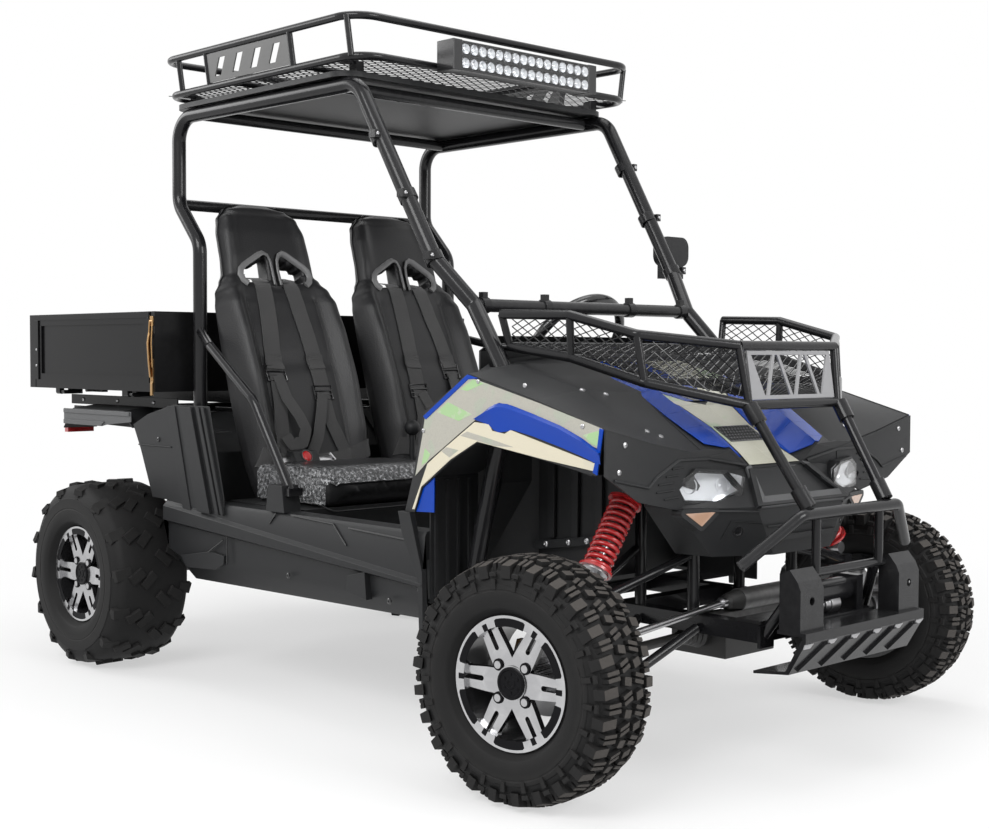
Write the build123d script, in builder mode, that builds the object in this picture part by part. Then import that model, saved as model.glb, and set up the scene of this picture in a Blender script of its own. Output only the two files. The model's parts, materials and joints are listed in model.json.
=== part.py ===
from build123d import *
import math
import os

os.makedirs("parts", exist_ok=True)

# ---------------------------------------------------------------- driving dimensions
# Millimetres and degrees. +X forward, +Y left, +Z up, ground at z = 0.
BODY_X = 979            # body station zero, just ahead of the front axle
REAR_AXLE_X = BODY_X - 1834
WHEELBASE = 1819
FRONT_AXLE_X = REAR_AXLE_X + WHEELBASE

FRONT_TYRE_R = 256
FRONT_TYRE_W = 178
REAR_TYRE_R = 272
REAR_TYRE_W = 250
BEAD_R = 127            # seat of a 10 inch rim
FLANGE_R = 139
FRONT_RIM_HALF = 70
REAR_RIM_HALF = 102
RIM_LIP = 6
LUG_H = 11              # height of the tread lugs
LUG_SINK = 5            # how far a lug is rooted in the carcass

KINGPIN_Y = 560
KINGPIN_D = 16
FRONT_OFFSET = 118      # from the kingpin out to the middle of the front tyre
REAR_TYRE_Y = 601
STEER_REST = 8.2        # the front wheels stand turned this far to the left
SPINDLE_D = 34
PIN_FIT = 0.3           # radial clearance of a turning fit
HUB_R = 36
STEER_ARM = 100

RAIL_Y = 190            # middle of a chassis rail
RAIL = 40
RAIL_Z = 320            # middle of a chassis rail

CAGE_D = 40
CAGE_BEND = 70
KNEE_BEND = 30
SMALL_TUBE_D = 22
RACK_D = 20

BODY_HALF = 585         # half width over the fenders and sills
SHELL = 5               # wall of the moulded body panels
FLOOR_Z = 340.3
SKIRT_TOP_Z = 555       # the sill that a passenger steps over

SEAT_Y = 240
SEAT_RAKE = 20.3
CUSHION_LOW_Z = 515
CUSHION_TOP_Z = 618

BED_HALF = 600
BED_FRONT = -1575       # stations from body station zero
BED_REAR = -2312
BED_FLOOR_Z = 810
BED_TOP_Z = 1040
BED_WALL = 18
BED_GAP = 5             # running gap round the drop sides and the tailgate

ROOF_Z = 1624.3
ROOF_FRONT = -840
ROOF_REAR = -1650
ROOF_HALF = 495


# ---------------------------------------------------------------- helpers
def at(station):
    """The x of a body station."""
    return BODY_X + station


def other_side(points):
    """The same points on the other side of the vehicle."""
    return [(x, -y, z) for x, y, z in points]


def tube(points, diameter, bend=40, mode=Mode.ADD):
    """Add or cut one bent tube along its corner points."""
    with BuildLine() as route:
        if len(points) == 2:
            Line(*points)
        else:
            FilletPolyline(*points, radius=bend)
    start = Plane(origin=route.line @ 0, z_dir=route.line % 0)
    with BuildSketch(start) as section:
        Circle(diameter / 2)
    sweep(sections=section.sketch, path=route.line, mode=mode)


def tubes_both_sides(points, diameter, bend=40):
    tube(points, diameter, bend)
    tube(other_side(points), diameter, bend)


def cut_by_cage(gap):
    """Cut the part being built so that it stays this far from both sides of the cage."""
    for points in (CAGE_POINTS, other_side(CAGE_POINTS)):
        tube(points[:4], CAGE_D + 2 * gap, KNEE_BEND, mode=Mode.SUBTRACT)
        tube(points[3:], CAGE_D + 2 * gap, CAGE_BEND, mode=Mode.SUBTRACT)


def block(low, high, mode=Mode.ADD):
    """Add or cut a rectangular block between two corners."""
    middle = [(a + b) / 2 for a, b in zip(low, high)]
    with Locations(tuple(middle)):
        Box(*[b - a for a, b in zip(low, high)], mode=mode)


def block_both_sides(low, high, mode=Mode.ADD):
    block(low, high, mode)
    block((low[0], -high[1], low[2]), (high[0], -low[1], high[2]), mode)


def outline(plane, points):
    """A face with straight edges through points given in the plane's own axes."""
    with BuildSketch(plane) as face:
        with BuildLine():
            Polyline(*points, close=True)
        make_face()
    return face.sketch


def side_plate(points, y_outer, thickness, mode=Mode.ADD):
    """Add an upright right-hand plate from (x, z) points, its outer face y_outer from the middle."""
    extrude(outline(Plane.XZ.offset(y_outer - thickness), points), amount=thickness, mode=mode)


def shell_loft(base, stations, shift, inward=False):
    """Add a ruled shell through chains of points, one chain a station, its wall given by shift."""
    sections = []
    for place, chain in stations:
        inner = [(u + shift[0], v + (-math.copysign(shift[1], v) if inward else shift[1]))
                 for u, v in reversed(chain)]
        sections.append(outline(base.offset(place), chain + inner))
    loft(sections=sections, ruled=True)


def both_halves(chain):
    """A chain that starts in the middle, made whole by its mirror image: (y, z) points."""
    return [(-y, z) for y, z in reversed(chain) if y] + chain


def cylinder_between(start, end, radius, mode=Mode.ADD):
    """Add or cut a straight round bar from one point to another."""
    run = Vector(*end) - Vector(*start)
    with BuildSketch(Plane(origin=start, z_dir=run)) as section:
        Circle(radius)
    extrude(section.sketch, amount=run.length, mode=mode)


def short_of(start, end, gap):
    """The point on the way from start to end that lies gap before the end."""
    run = Vector(*end) - Vector(*start)
    return tuple(Vector(*end) - run.normalized() * gap)


def save(piece, name):
    piece.part.label = name
    export_step(piece.part, f"parts/{name}.step")


# ---------------------------------------------------------------- chassis
RAIL_FRONT = at(235)
RAIL_REAR = at(-1960)
TOWERS = (FRONT_AXLE_X - 100, FRONT_AXLE_X + 55)
TOWER_TOP_Z = 610
BED_RAIL_Z = 735
BED_RAIL_FRONT = at(-1525) - 20 - 15 - PIN_FIT     # just behind the cage's rear uprights
BED_HINGE_X = at(-2235)
BED_HINGE_Z = 772
BED_HINGE_R = 11
SHOCK_TOP = (FRONT_AXLE_X - 15, 325, 625)
SHOCK_FOOT = (FRONT_AXLE_X - 5, 475, 425)
LOWER_EYE_Z = 152
UPPER_EYE_Z = 372
EYE_H = 26
REAR_SHOCK_TOP = (REAR_AXLE_X + 60, 300, 640)
REAR_SHOCK_FOOT = (REAR_AXLE_X + 10, 330, 320)

CAB_OUTRIGGERS = (at(-400), at(-900), at(-1330))
with BuildPart() as chassis_frame:
    block_both_sides((RAIL_REAR, RAIL_Y - RAIL / 2, RAIL_Z - RAIL / 2),
                     (RAIL_FRONT, RAIL_Y + RAIL / 2, RAIL_Z + RAIL / 2))
    for x in (RAIL_FRONT - RAIL, at(-190), at(-1480), at(-1700), RAIL_REAR):
        block((x, -RAIL_Y, RAIL_Z - RAIL / 2), (x + RAIL, RAIL_Y, RAIL_Z + RAIL / 2))
    for x in CAB_OUTRIGGERS:
        block((x - 15, -530, RAIL_Z - 15), (x + 15, 530, RAIL_Z + 15))
    block_both_sides((CAB_OUTRIGGERS[2], 500, RAIL_Z - 15), (CAB_OUTRIGGERS[0], 530, RAIL_Z + 15))
save(chassis_frame, "chassis_frame")

POST_Z = RAIL_Z + RAIL / 2 + PIN_FIT    # the foot of a post that stands on a rail
with BuildPart() as front_frame:
    for x in TOWERS:
        tubes_both_sides([(x, RAIL_Y, POST_Z), (x, RAIL_Y, TOWER_TOP_Z)], 28)
    tubes_both_sides([(TOWERS[0] - 14, RAIL_Y, TOWER_TOP_Z), (TOWERS[1] + 14, RAIL_Y, TOWER_TOP_Z)], 28)
    tube([(SHOCK_TOP[0], -SHOCK_TOP[1] + 15.5, SHOCK_TOP[2]), (SHOCK_TOP[0], SHOCK_TOP[1] - 15.5, SHOCK_TOP[2])], 28)
save(front_frame, "front_frame")

with BuildPart() as bed_frame:
    for x in (BED_RAIL_FRONT, at(-1900), REAR_SHOCK_TOP[0]):
        tubes_both_sides([(x, RAIL_Y, POST_Z), (x, RAIL_Y, BED_RAIL_Z)], 30)
    tubes_both_sides([(BED_RAIL_FRONT - 15, RAIL_Y, BED_RAIL_Z), (BED_HINGE_X, RAIL_Y, BED_RAIL_Z)], 30)
    tube([(BED_HINGE_X, -330, BED_RAIL_Z), (BED_HINGE_X, 330, BED_RAIL_Z)], 30)
    tube([(BED_RAIL_FRONT, -485, BED_RAIL_Z), (BED_RAIL_FRONT, 485, BED_RAIL_Z)], 30)
    tube([(REAR_SHOCK_TOP[0], -REAR_SHOCK_TOP[1] + 15.5, REAR_SHOCK_TOP[2]),
          (REAR_SHOCK_TOP[0], REAR_SHOCK_TOP[1] - 15.5, REAR_SHOCK_TOP[2])], 28)
    tubes_both_sides([(at(-1900), RAIL_Y, 747.4), (at(-1900), 480, 747.4)], 24)
    for y in (-250, 250):
        block((BED_HINGE_X - 14, y - 12, BED_RAIL_Z), (BED_HINGE_X + 14, y + 12, BED_HINGE_Z + 2))
    cylinder_between((BED_HINGE_X, -262, BED_HINGE_Z), (BED_HINGE_X, -200, BED_HINGE_Z), BED_HINGE_R)
    cylinder_between((BED_HINGE_X, 200, BED_HINGE_Z), (BED_HINGE_X, 262, BED_HINGE_Z), BED_HINGE_R)
save(bed_frame, "bed_frame")

BRACE_FOOT = (RAIL_REAR + 20, RAIL_Y, POST_Z + 12)
BRACE_TOP = (BED_HINGE_X + 4, RAIL_Y, BED_RAIL_Z)
with BuildPart() as bed_braces:
    tubes_both_sides([BRACE_FOOT, short_of(BRACE_FOOT, BRACE_TOP, 29.3)], 26)
    block_both_sides((RAIL_REAR, RAIL_Y - 15, POST_Z), (RAIL_REAR + 42, RAIL_Y + 15, POST_Z + 16))
save(bed_braces, "bed_braces")

# ---------------------------------------------------------------- roll cage
CAGE_POINTS = [         # right-hand side, from the foot up over the roof and down behind the seat
    (at(-400), -470, RAIL_Z + 21), (at(-300), -440, 860), (at(-460), -402, 1039), (at(-551), -450, 1152),
    (at(-820), -466, 1604), (at(-1637), -477, 1604), (at(-1637), -477, 1354),
    (at(-1525), -480, 1235), (at(-1525), -480, BED_RAIL_Z - 15)]
KNEE_Z = 1039
with BuildPart() as cage_right:
    tube(CAGE_POINTS[:4], CAGE_D, KNEE_BEND)
    tube(CAGE_POINTS[3:], CAGE_D, CAGE_BEND)
    tube([(at(-1352), -560, 940), (at(-1123), -575, 797), (at(-985.5), -560, SKIRT_TOP_Z + 13)], 26, 60)
    tube([(at(-1352), -560, 940), (at(-1525), -480, 985)], 26)
    block((at(-981) - 22, -582, SKIRT_TOP_Z + PIN_FIT), (at(-981) + 22, -538, SKIRT_TOP_Z + 20))
    block((at(-400) - 14, -492, RAIL_Z + 15 + PIN_FIT), (at(-400) + 14, -448, RAIL_Z + 22))
save(cage_right, "cage_right")

with BuildPart() as cage_left:
    mirror(cage_right.part, about=Plane.XZ)
save(cage_left, "cage_left")

with BuildPart() as cage_cross_bars:
    for x, z, half in ((at(-900), 1604, 467), (at(-1540), 1604, 475.8),
                       (at(-1637), 1354, 477), (at(-460), KNEE_Z, 402)):
        tube([(x, -half, z), (x, half, z)], 32)
    cut_by_cage(PIN_FIT)
save(cage_cross_bars, "cage_cross_bars")

# ---------------------------------------------------------------- roof
with BuildPart() as roof_panel:
    block((at(ROOF_REAR), -ROOF_HALF, ROOF_Z), (at(ROOF_FRONT), ROOF_HALF, ROOF_Z + 14))
    fillet(roof_panel.edges().filter_by(Axis.Z), radius=60)
save(roof_panel, "roof_panel")

RACK_FLOOR_Z = 1664
RACK_TOP_Z = 1762
RACK_HALF = 520
RACK_FRONT = -765
RACK_REAR = -1660
RACK_BEND = 70
RACK_POSTS = (-800, -1040, -1430, -1570)
with BuildPart() as roof_rack:
    for z, half in ((RACK_FLOOR_Z, RACK_HALF - 15), (RACK_TOP_Z, RACK_HALF)):
        tubes_both_sides([(at(-1200), half, z), (at(RACK_REAR), half, z), (at(RACK_REAR), 0, z)],
                         RACK_D, RACK_BEND)
        tubes_both_sides([(at(-1200), half, z), (at(RACK_FRONT), half, z), (at(RACK_FRONT), 0, z)],
                         RACK_D, RACK_BEND)
    for x in RACK_POSTS:
        tubes_both_sides([(at(x), RACK_HALF - 15, RACK_FLOOR_Z), (at(x), RACK_HALF, RACK_TOP_Z)], 16)
    for x in (-1000, -1320):
        tube([(at(x), -RACK_HALF + 15, RACK_FLOOR_Z), (at(x), RACK_HALF - 15, RACK_FLOOR_Z)], 16)
    for x in (-860, -1600):
        for y in (-440, 440):
            block((at(x) - 15, y - 12, ROOF_Z + 14 + PIN_FIT), (at(x) + 15, y + 12, RACK_FLOOR_Z))
            block((at(x) - 9, min(y, y * 1.15), RACK_FLOOR_Z - 8), (at(x) + 9, max(y, y * 1.15), RACK_FLOOR_Z + 4))
save(roof_rack, "roof_rack")

# One louvred plate fills the bay between the two middle posts on each side.
plate_lean = Vector(0, -15, RACK_TOP_Z - RACK_FLOOR_Z).normalized()
PLATE_HALF = (RACK_TOP_Z - RACK_FLOOR_Z) / 2 - RACK_D / 2 - PIN_FIT
PLATE_ENDS = (RACK_POSTS[2] + 8 + PIN_FIT, RACK_POSTS[1] - 8 - PIN_FIT)
plate_plane = Plane(origin=(BODY_X, -RACK_HALF + 7.5, (RACK_TOP_Z + RACK_FLOOR_Z) / 2), x_dir=(1, 0, 0),
                    z_dir=Vector(1, 0, 0).cross(plate_lean))
with BuildPart() as rack_side_plates:
    extrude(outline(plate_plane, [(PLATE_ENDS[0], -PLATE_HALF), (PLATE_ENDS[1], -PLATE_HALF),
                                  (PLATE_ENDS[1], PLATE_HALF), (PLATE_ENDS[0], PLATE_HALF)]), amount=4)
    for left in (-1395, -1310, -1225, -1140):
        slot = [(left, -24), (left + 30, -24), (left + 60, 24), (left + 30, 24)]
        extrude(outline(plate_plane, slot), amount=12, both=True, mode=Mode.SUBTRACT)
    mirror(about=Plane.XZ)
save(rack_side_plates, "rack_side_plates")

LIGHT_BAR_X = at(-680)
with BuildPart() as light_bar:
    block((LIGHT_BAR_X - 62, -270, 1645), (LIGHT_BAR_X, 270, 1724))
    fillet(light_bar.edges().filter_by(Axis.Y), radius=14)
    block_both_sides((at(RACK_FRONT) + RACK_D / 2 + PIN_FIT, 225, 1655), (LIGHT_BAR_X - 40, 235, 1673))
save(light_bar, "light_bar")

# ---------------------------------------------------------------- cab floor, sills and inner guards
FLOOR_FRONT = -440
FLOOR_HALF = 535
with BuildPart() as floor_tub:
    block((at(-1330), -FLOOR_HALF, FLOOR_Z), (at(FLOOR_FRONT), FLOOR_HALF, FLOOR_Z + SHELL))
    side_plate([(at(FLOOR_FRONT - SHELL), FLOOR_Z), (at(FLOOR_FRONT), FLOOR_Z), (at(-350), 620),
                (at(-350), 700), (at(-350 - SHELL), 700), (at(-350 - SHELL), 620)], 415, 830)
save(floor_tub, "floor_tub")

with BuildPart() as side_skirts:
    shell_loft(Plane.YZ, [
        (at(-1451), [(-BODY_HALF, SKIRT_TOP_Z), (-BODY_HALF - 10, 480), (-BODY_HALF, 425), (-540, 285)]),
        (at(-430), [(-BODY_HALF, SKIRT_TOP_Z), (-BODY_HALF - 10, 405), (-BODY_HALF + 5, 372), (-540, 300)])],
        (SHELL, 0))
    shell_loft(Plane.YZ, [
        (at(-1451), [(-BODY_HALF, SKIRT_TOP_Z), (-FLOOR_HALF, SKIRT_TOP_Z)]),
        (at(-430), [(-BODY_HALF, SKIRT_TOP_Z), (-FLOOR_HALF, SKIRT_TOP_Z)])],
        (0, -SHELL))
    for x in (-1300, -600):
        block((at(x) - 15, -550.5, RAIL_Z), (at(x) + 15, -530 - PIN_FIT, RAIL_Z + 10))
    mirror(about=Plane.XZ)
save(side_skirts, "side_skirts")

with BuildPart() as rear_side_panels:
    side_plate([(at(-1722), 711), (at(-1617), 514), (at(-1456), 490), (at(-1456), SKIRT_TOP_Z + PIN_FIT),
                (at(-1250), SKIRT_TOP_Z + PIN_FIT), (at(-1325), 775)], BODY_HALF, SHELL)
    for x in (-1570, -1500, -1430, -1360):
        block((at(x) - 8, -BODY_HALF - 6, 560), (at(x) + 8, -BODY_HALF, 730))
    block((at(-1700), -BODY_HALF, 700), (at(-1340), -500, 705))
    mirror(about=Plane.XZ)
save(rear_side_panels, "rear_side_panels")

SEAT_BASE_X = (at(-1325), at(-975))
with BuildPart() as seat_base:
    block((SEAT_BASE_X[0], -520, FLOOR_Z + SHELL + PIN_FIT), (SEAT_BASE_X[1], 520, CUSHION_LOW_Z - PIN_FIT))
    block((SEAT_BASE_X[0] + SHELL, -520 + SHELL, FLOOR_Z), (SEAT_BASE_X[1] - SHELL, 520 - SHELL,
                                                            CUSHION_LOW_Z - PIN_FIT - SHELL), mode=Mode.SUBTRACT)
save(seat_base, "seat_base")

# ---------------------------------------------------------------- seats
rake = math.radians(SEAT_RAKE)
SEAT_FOOT_X = at(-1262)
SEAT_FOOT_Z = 560


def seat_plane(y):
    """The plane of a seat back's front face: its x runs left and its y runs up the back."""
    return Plane(origin=(SEAT_FOOT_X, y, SEAT_FOOT_Z), x_dir=(0, 1, 0),
                 z_dir=(math.cos(rake), 0, math.sin(rake)))


SEAT_OUTLINE = [        # (to the side, up the back), right half
    (0, -60), (195, -60), (208, 330), (200, 600), (150, 675), (125, 800), (95, 860), (0, 862)]


SEAT_PROFILE = [        # (up the back, behind the front plane), from the side
    (-48, 0), (120, -6), (300, -14), (520, 0), (700, 10), (862, 22),
    (862, 50), (700, 60), (520, 82), (300, 95), (-12.8, 95)]


BOLSTER = 34            # how far the side bolsters stand ahead of the back
BOLSTER_FOOT = 76       # up the back, just over the cushion


def seat_back(y):
    """Add one seat back: its front outline, cut to its side profile, with two belt slots."""
    front = seat_plane(y)
    with BuildSketch(front) as shape:
        with BuildLine():
            Polyline(*SEAT_OUTLINE)
            mirror(about=Plane.YZ)
        make_face()
    extrude(shape.sketch, amount=120, both=True)
    side = Plane(origin=front.origin - Vector(0, 300, 0), x_dir=front.y_dir, z_dir=(0, 1, 0))
    extrude(outline(side, [(up, -back) for up, back in SEAT_PROFILE]), amount=600, mode=Mode.INTERSECT)
    for hand in (-1, 1):
        bolster = outline(front, [(hand * 128, BOLSTER_FOOT), (hand * 200, BOLSTER_FOOT), (hand * 206, 330),
                                  (hand * 196, 560), (hand * 150, 600), (hand * 120, 420)])
        extrude(bolster, amount=BOLSTER, taper=28)
        extrude(bolster, amount=-30)
        slot = [(hand * 25, 652), (hand * 80, 640), (hand * 92, 612), (hand * 40, 618)]
        extrude(outline(front, slot), amount=150, both=True, mode=Mode.SUBTRACT)


with BuildPart() as seat_right:
    seat_back(-SEAT_Y)
save(seat_right, "seat_right")

with BuildPart() as seat_left:
    seat_back(SEAT_Y)
save(seat_left, "seat_left")

BELT_DIP_Z = CUSHION_TOP_Z - 8      # the cushion's back edge dips, and the lap belt lies in the dip
CUSHION_SIDE = [        # (x, z), its back following the seat's own front
    (at(-1244.7), CUSHION_LOW_Z), (at(-1276.2), BELT_DIP_Z), (at(-1208), BELT_DIP_Z),
    (at(-1204), CUSHION_TOP_Z), (at(-985), CUSHION_TOP_Z),
    (at(-962), CUSHION_TOP_Z - 26), (at(-962), CUSHION_LOW_Z)]
with BuildPart() as seat_cushions:
    side_plate(CUSHION_SIDE, 455, 427)
    mirror(about=Plane.XZ)
save(seat_cushions, "seat_cushions")

STRAP_W = 46
STRAP_T = 4
STRAP_SIDE = [          # (up the back, behind the front plane) of a shoulder strap's inner face
    (53, -4), (120, -6 - PIN_FIT), (300, -14 - PIN_FIT), (520, -PIN_FIT), (628, 5.5)]
LAP_X = (at(-1276), at(-1226))
LAP_TOP_Z = BELT_DIP_Z + 5
with BuildPart() as harnesses:
    front = seat_plane(-SEAT_Y)
    side = Plane(origin=front.origin - Vector(0, 83, 0), x_dir=front.y_dir, z_dir=(0, 1, 0))
    strap = [(up, -back) for up, back in STRAP_SIDE] + [(up, STRAP_T - back) for up, back in reversed(STRAP_SIDE)]
    extrude(outline(side, strap), amount=STRAP_W)
    extrude(outline(side.offset(2 * 83 - STRAP_W), strap), amount=STRAP_W)
    block((LAP_X[0], -SEAT_Y - 190, BELT_DIP_Z + PIN_FIT), (LAP_X[1], -SEAT_Y + 190, LAP_TOP_Z))
    block((LAP_X[0], -SEAT_Y - 38, LAP_TOP_Z - 1), (LAP_X[1] + 12, -SEAT_Y + 38, LAP_TOP_Z + 19))
    mirror(about=Plane.XZ)
save(harnesses, "harnesses")

# ---------------------------------------------------------------- front body
HOOD_EDGE_Y = 250
with BuildPart() as hood:
    shell_loft(Plane.YZ, [
        (at(-370), both_halves([(0, 905), (110, 905), (180, 925), (HOOD_EDGE_Y, 925)])),
        (at(-80), both_halves([(0, 800), (110, 800), (180, 838), (HOOD_EDGE_Y, 836)])),
        (at(125), both_halves([(0, 671), (100, 671), (167, 712), (HOOD_EDGE_Y, 700)]))],
        (0, -SHELL))
save(hood, "hood")

COVER_Y = HOOD_EDGE_Y + PIN_FIT
FENDER_SIDE = [         # (x, z)
    (at(-465), SKIRT_TOP_Z + PIN_FIT), (at(-499), SKIRT_TOP_Z + PIN_FIT), (at(-465), 657), (at(-435), 788),
    (at(-282), 879), (at(-66), 824), (at(120), 771), (at(100), 674),
    (at(-183), 720), (at(-253), 727), (at(-339), 682), (at(-438), 614)]
with BuildPart() as fender_right:
    side_plate(FENDER_SIDE, BODY_HALF, SHELL)
    shell_loft(Plane.YZ, [
        (at(-370), [(-COVER_Y, 925), (-430, 905), (-BODY_HALF, 824)]),
        (at(-282), [(-COVER_Y, 900), (-430, 900), (-BODY_HALF, 879)]),
        (at(-80), [(-COVER_Y, 836), (-430, 845), (-BODY_HALF, 826)]),
        (at(120), [(-COVER_Y, 702), (-430, 735), (-BODY_HALF, 771)])],
        (0, -SHELL))
    cut_by_cage(8)
save(fender_right, "fender_right")

with BuildPart() as fender_left:
    mirror(fender_right.part, about=Plane.XZ)
save(fender_left, "fender_left")

LAMP_OUTLINE = [        # (y, z) of the right headlight
    (-348, 634), (-300, 668), (-225, 662), (-185, 625), (-240, 604), (-330, 610)]
NOSE_TOP_Z = 666 - PIN_FIT
MARKER_OUTLINE = [(-345, 583), (-262, 583), (-300, 552)]
NOSE_X = 120.3          # the cheeks stand just ahead of the fenders' front edge
LAMP_FACES = ((LAMP_OUTLINE, 116, 160), (MARKER_OUTLINE, 132, 172))     # stations of its face at y -350 and -180
BEZEL = 9               # width and stand of the raised frame round a lamp


def lamp_form(edge, outer_x, inner_x, grow, stand):
    """A lamp's body: its outline from the front, grown, cut to the slant of its face."""
    with BuildPart() as form:
        with BuildSketch(Plane.YZ.offset(at(108))) as lens:
            with BuildLine():
                Polyline(*edge, close=True)
            make_face()
            offset(amount=grow)
        extrude(lens.sketch, amount=120)
        slant = [(at(90), -420), (at(outer_x + stand - 18), -420), (at(outer_x + stand), -350),
                 (at(inner_x + stand), -180), (at(inner_x + stand), -120), (at(90), -120)]
        extrude(outline(Plane.XY.offset(500), slant), amount=260, mode=Mode.INTERSECT)
    return form.part


lip_slope = Vector(-69, 0, NOSE_TOP_Z - 590).normalized()
lip_plane = Plane(origin=(at(198), 0, 590), x_dir=(0, 1, 0), z_dir=Vector(0, 1, 0).cross(lip_slope))
LIP_FRAME = [           # (to the side, up the slope)
    (178, -4), (120, 98), (100, 98), (146, 20), (-146, 20), (-100, 98), (-120, 98), (-178, -4)]
with BuildPart() as nose:
    shell_loft(Plane.XY, [
        (480, [(at(40), -255), (at(130), -240), (at(200), -110), (at(200), 110), (at(130), 240), (at(40), 255)]),
        (590, [(at(30), -350), (at(115), -348), (at(198), -170), (at(198), 170), (at(115), 348), (at(30), 350)]),
        (NOSE_TOP_Z, [(at(30), -352), (at(112), -350), (at(129), -100), (at(129), 100), (at(112), 350), (at(30), 352)])],
        (-SHELL, SHELL), inward=True)
    extrude(outline(lip_plane.offset(-3), LIP_FRAME), amount=13)
    with BuildSketch(Plane.XY.offset(512)):
        with BuildLine():
            Polyline((at(150), -200), (at(212), -108), (at(212), 108), (at(150), 200), (at(144), 190), (at(196), 100),
                     (at(196), -100), (at(144), -190), close=True)
        make_face()
    extrude(amount=12)
    for edge, outer_x, inner_x in LAMP_FACES:
        bezel = lamp_form(edge, outer_x, inner_x, BEZEL, 5)
        add(bezel)
        mirror(bezel, about=Plane.XZ)
    for hand in (-1, 1):
        cheek = [(-BODY_HALF, 768), (-430, 732), (-COVER_Y, 699), (-COVER_Y, 640), (-352, 590), (-480, 615),
                 (-BODY_HALF, 674)]
        extrude(outline(Plane.YZ.offset(at(NOSE_X)), [(-hand * y, z) for y, z in cheek]), amount=SHELL)
        for lamp in (LAMP_OUTLINE, MARKER_OUTLINE):
            extrude(outline(Plane.YZ.offset(at(100)), [(-hand * y, z) for y, z in lamp]), amount=200,
                    mode=Mode.SUBTRACT)
save(nose, "nose")

WHEEL_CENTRE = (at(-735), SEAT_Y, 940)
COLUMN_ANGLE = 35       # of the steering shaft above the horizontal
column = math.radians(COLUMN_ANGLE)
COLUMN_DIR = (-math.cos(column), 0, math.sin(column))
WHEEL_R = 165


def along_column(distance):
    """A point on the steering shaft, this far ahead of the wheel's middle."""
    return tuple(c - d * distance for c, d in zip(WHEEL_CENTRE, COLUMN_DIR))


with BuildPart() as dashboard:
    shell_loft(Plane.XZ, [
        (-405, [(at(-375), 640), (at(-440), 780), (at(-440), 930), (at(-375), 965)]),
        (405, [(at(-375), 640), (at(-440), 780), (at(-440), 930), (at(-375), 965)])],
        (SHELL, 0))
    cylinder_between(along_column(0), along_column(450), 26, mode=Mode.SUBTRACT)
    cut_by_cage(PIN_FIT)
save(dashboard, "dashboard")

with BuildPart() as wheel_liners:
    side_plate([(at(-340), 345), (at(-340), 800), (at(-60), 750), (at(-60), 520), (at(-140), 480), (at(-140), 345)],
               300, 4)
    block((at(-430) + PIN_FIT, -570, 345), (at(-426), -418, 640))
    block((at(-430) + PIN_FIT, -444, 352), (at(-336), -296, 356))
    for y in (-560, -525, -490, -455):
        block((at(-427), y, 360), (at(-420), y + 8, 630))
    mirror(about=Plane.XZ)
save(wheel_liners, "wheel_liners")

with BuildPart() as rear_mudguards:
    shell_loft(Plane.XZ, [
        (470, [(at(-1728), 705), (at(-1780), 765), (at(-2080), 765), (at(-2140), 690)]),
        (BODY_HALF, [(at(-1728), 705), (at(-1780), 750), (at(-2080), 750), (at(-2140), 690)])],
        (0, -4))
    mirror(about=Plane.XZ)
save(rear_mudguards, "rear_mudguards")

with BuildPart() as lamps:
    for edge, outer_x, inner_x in LAMP_FACES:
        add(lamp_form(edge, outer_x, inner_x, -PIN_FIT, 0))
    block((at(-2162), -570, 672), (at(-2140) - PIN_FIT, -480, 722))
    mirror(about=Plane.XZ)
save(lamps, "lamps")

# ---------------------------------------------------------------- front guard, winch and basket
POST_Y = 150            # inner face of a guard post
POST_W = 85
with BuildPart() as front_bumper:
    tube([(at(269), -322, 481), (at(327), -189, 583), (at(327), 189, 583), (at(269), 322, 481)], 26, 30)
    tubes_both_sides([(at(320), 124, 583), (at(320), 124, 454)], 20)
    tube([(at(315), -POST_Y + PIN_FIT, 454), (at(315), POST_Y - PIN_FIT, 454)], 20)
    block_both_sides((RAIL_FRONT + PIN_FIT, 165, 290), (RAIL_FRONT + 8, 215, 338))
    tubes_both_sides([(RAIL_FRONT, 193, 315), (at(304), 134, 450)], 24)
    block_both_sides((at(200), 150, 280), (RAIL_FRONT + PIN_FIT, 240, 345), mode=Mode.SUBTRACT)
save(front_bumper, "front_bumper")

GUARD_POST = [          # (station, z) of a guard post from the side
    (305, 340), (305, 462), (330, 472), (350, 448), (358, 430), (358, 340)]
TREAD_BARS = 5
with BuildPart() as skid_plate:
    side_plate([(at(x), z) for x, z in GUARD_POST], POST_Y + POST_W, POST_W)
    block((at(320), -POST_Y - POST_W + 8, 352), (at(348), -POST_Y - 8, 440), mode=Mode.SUBTRACT)
    cylinder_between((at(340), -POST_Y - POST_W / 2, 405), (at(370), -POST_Y - POST_W / 2, 405), 9, mode=Mode.SUBTRACT)
    mirror(about=Plane.XZ)
    side_plate([(at(300), 334), (at(362), 334), (at(372), 322), (at(372), 342), (at(300), 342)],
               POST_Y + POST_W, 2 * (POST_Y + POST_W))
    side_plate([(at(372), 342), (at(372), 322), (at(330), 250), (at(240), 240), (at(240), 246), (at(322), 256),
                (at(360), 326)], POST_Y + POST_W, 2 * (POST_Y + POST_W))
    skid_face = Plane(origin=(at(351), 0, 286), x_dir=(0, 1, 0), z_dir=Vector(72, 0, -42))
    for n in range(TREAD_BARS):
        y = (n - (TREAD_BARS - 1) / 2) * 88
        extrude(outline(skid_face, [(y - 40, -32), (y - 22, -32), (y + 34, 32), (y + 16, 32)]), amount=6)
save(skid_plate, "skid_plate")

with BuildPart() as winch:
    block((at(170), -205, RAIL_Z + 20 + PIN_FIT), (RAIL_FRONT, 205, 347))
    block((RAIL_FRONT - 1, -150, RAIL_Z + 20 + PIN_FIT), (at(295), 150, 347))
    cylinder_between((at(255), -105, 392), (at(255), 105, 392), 28)
    block_both_sides((at(225), 85, 346), (at(290), 110, 425))
save(winch, "winch")

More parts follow.
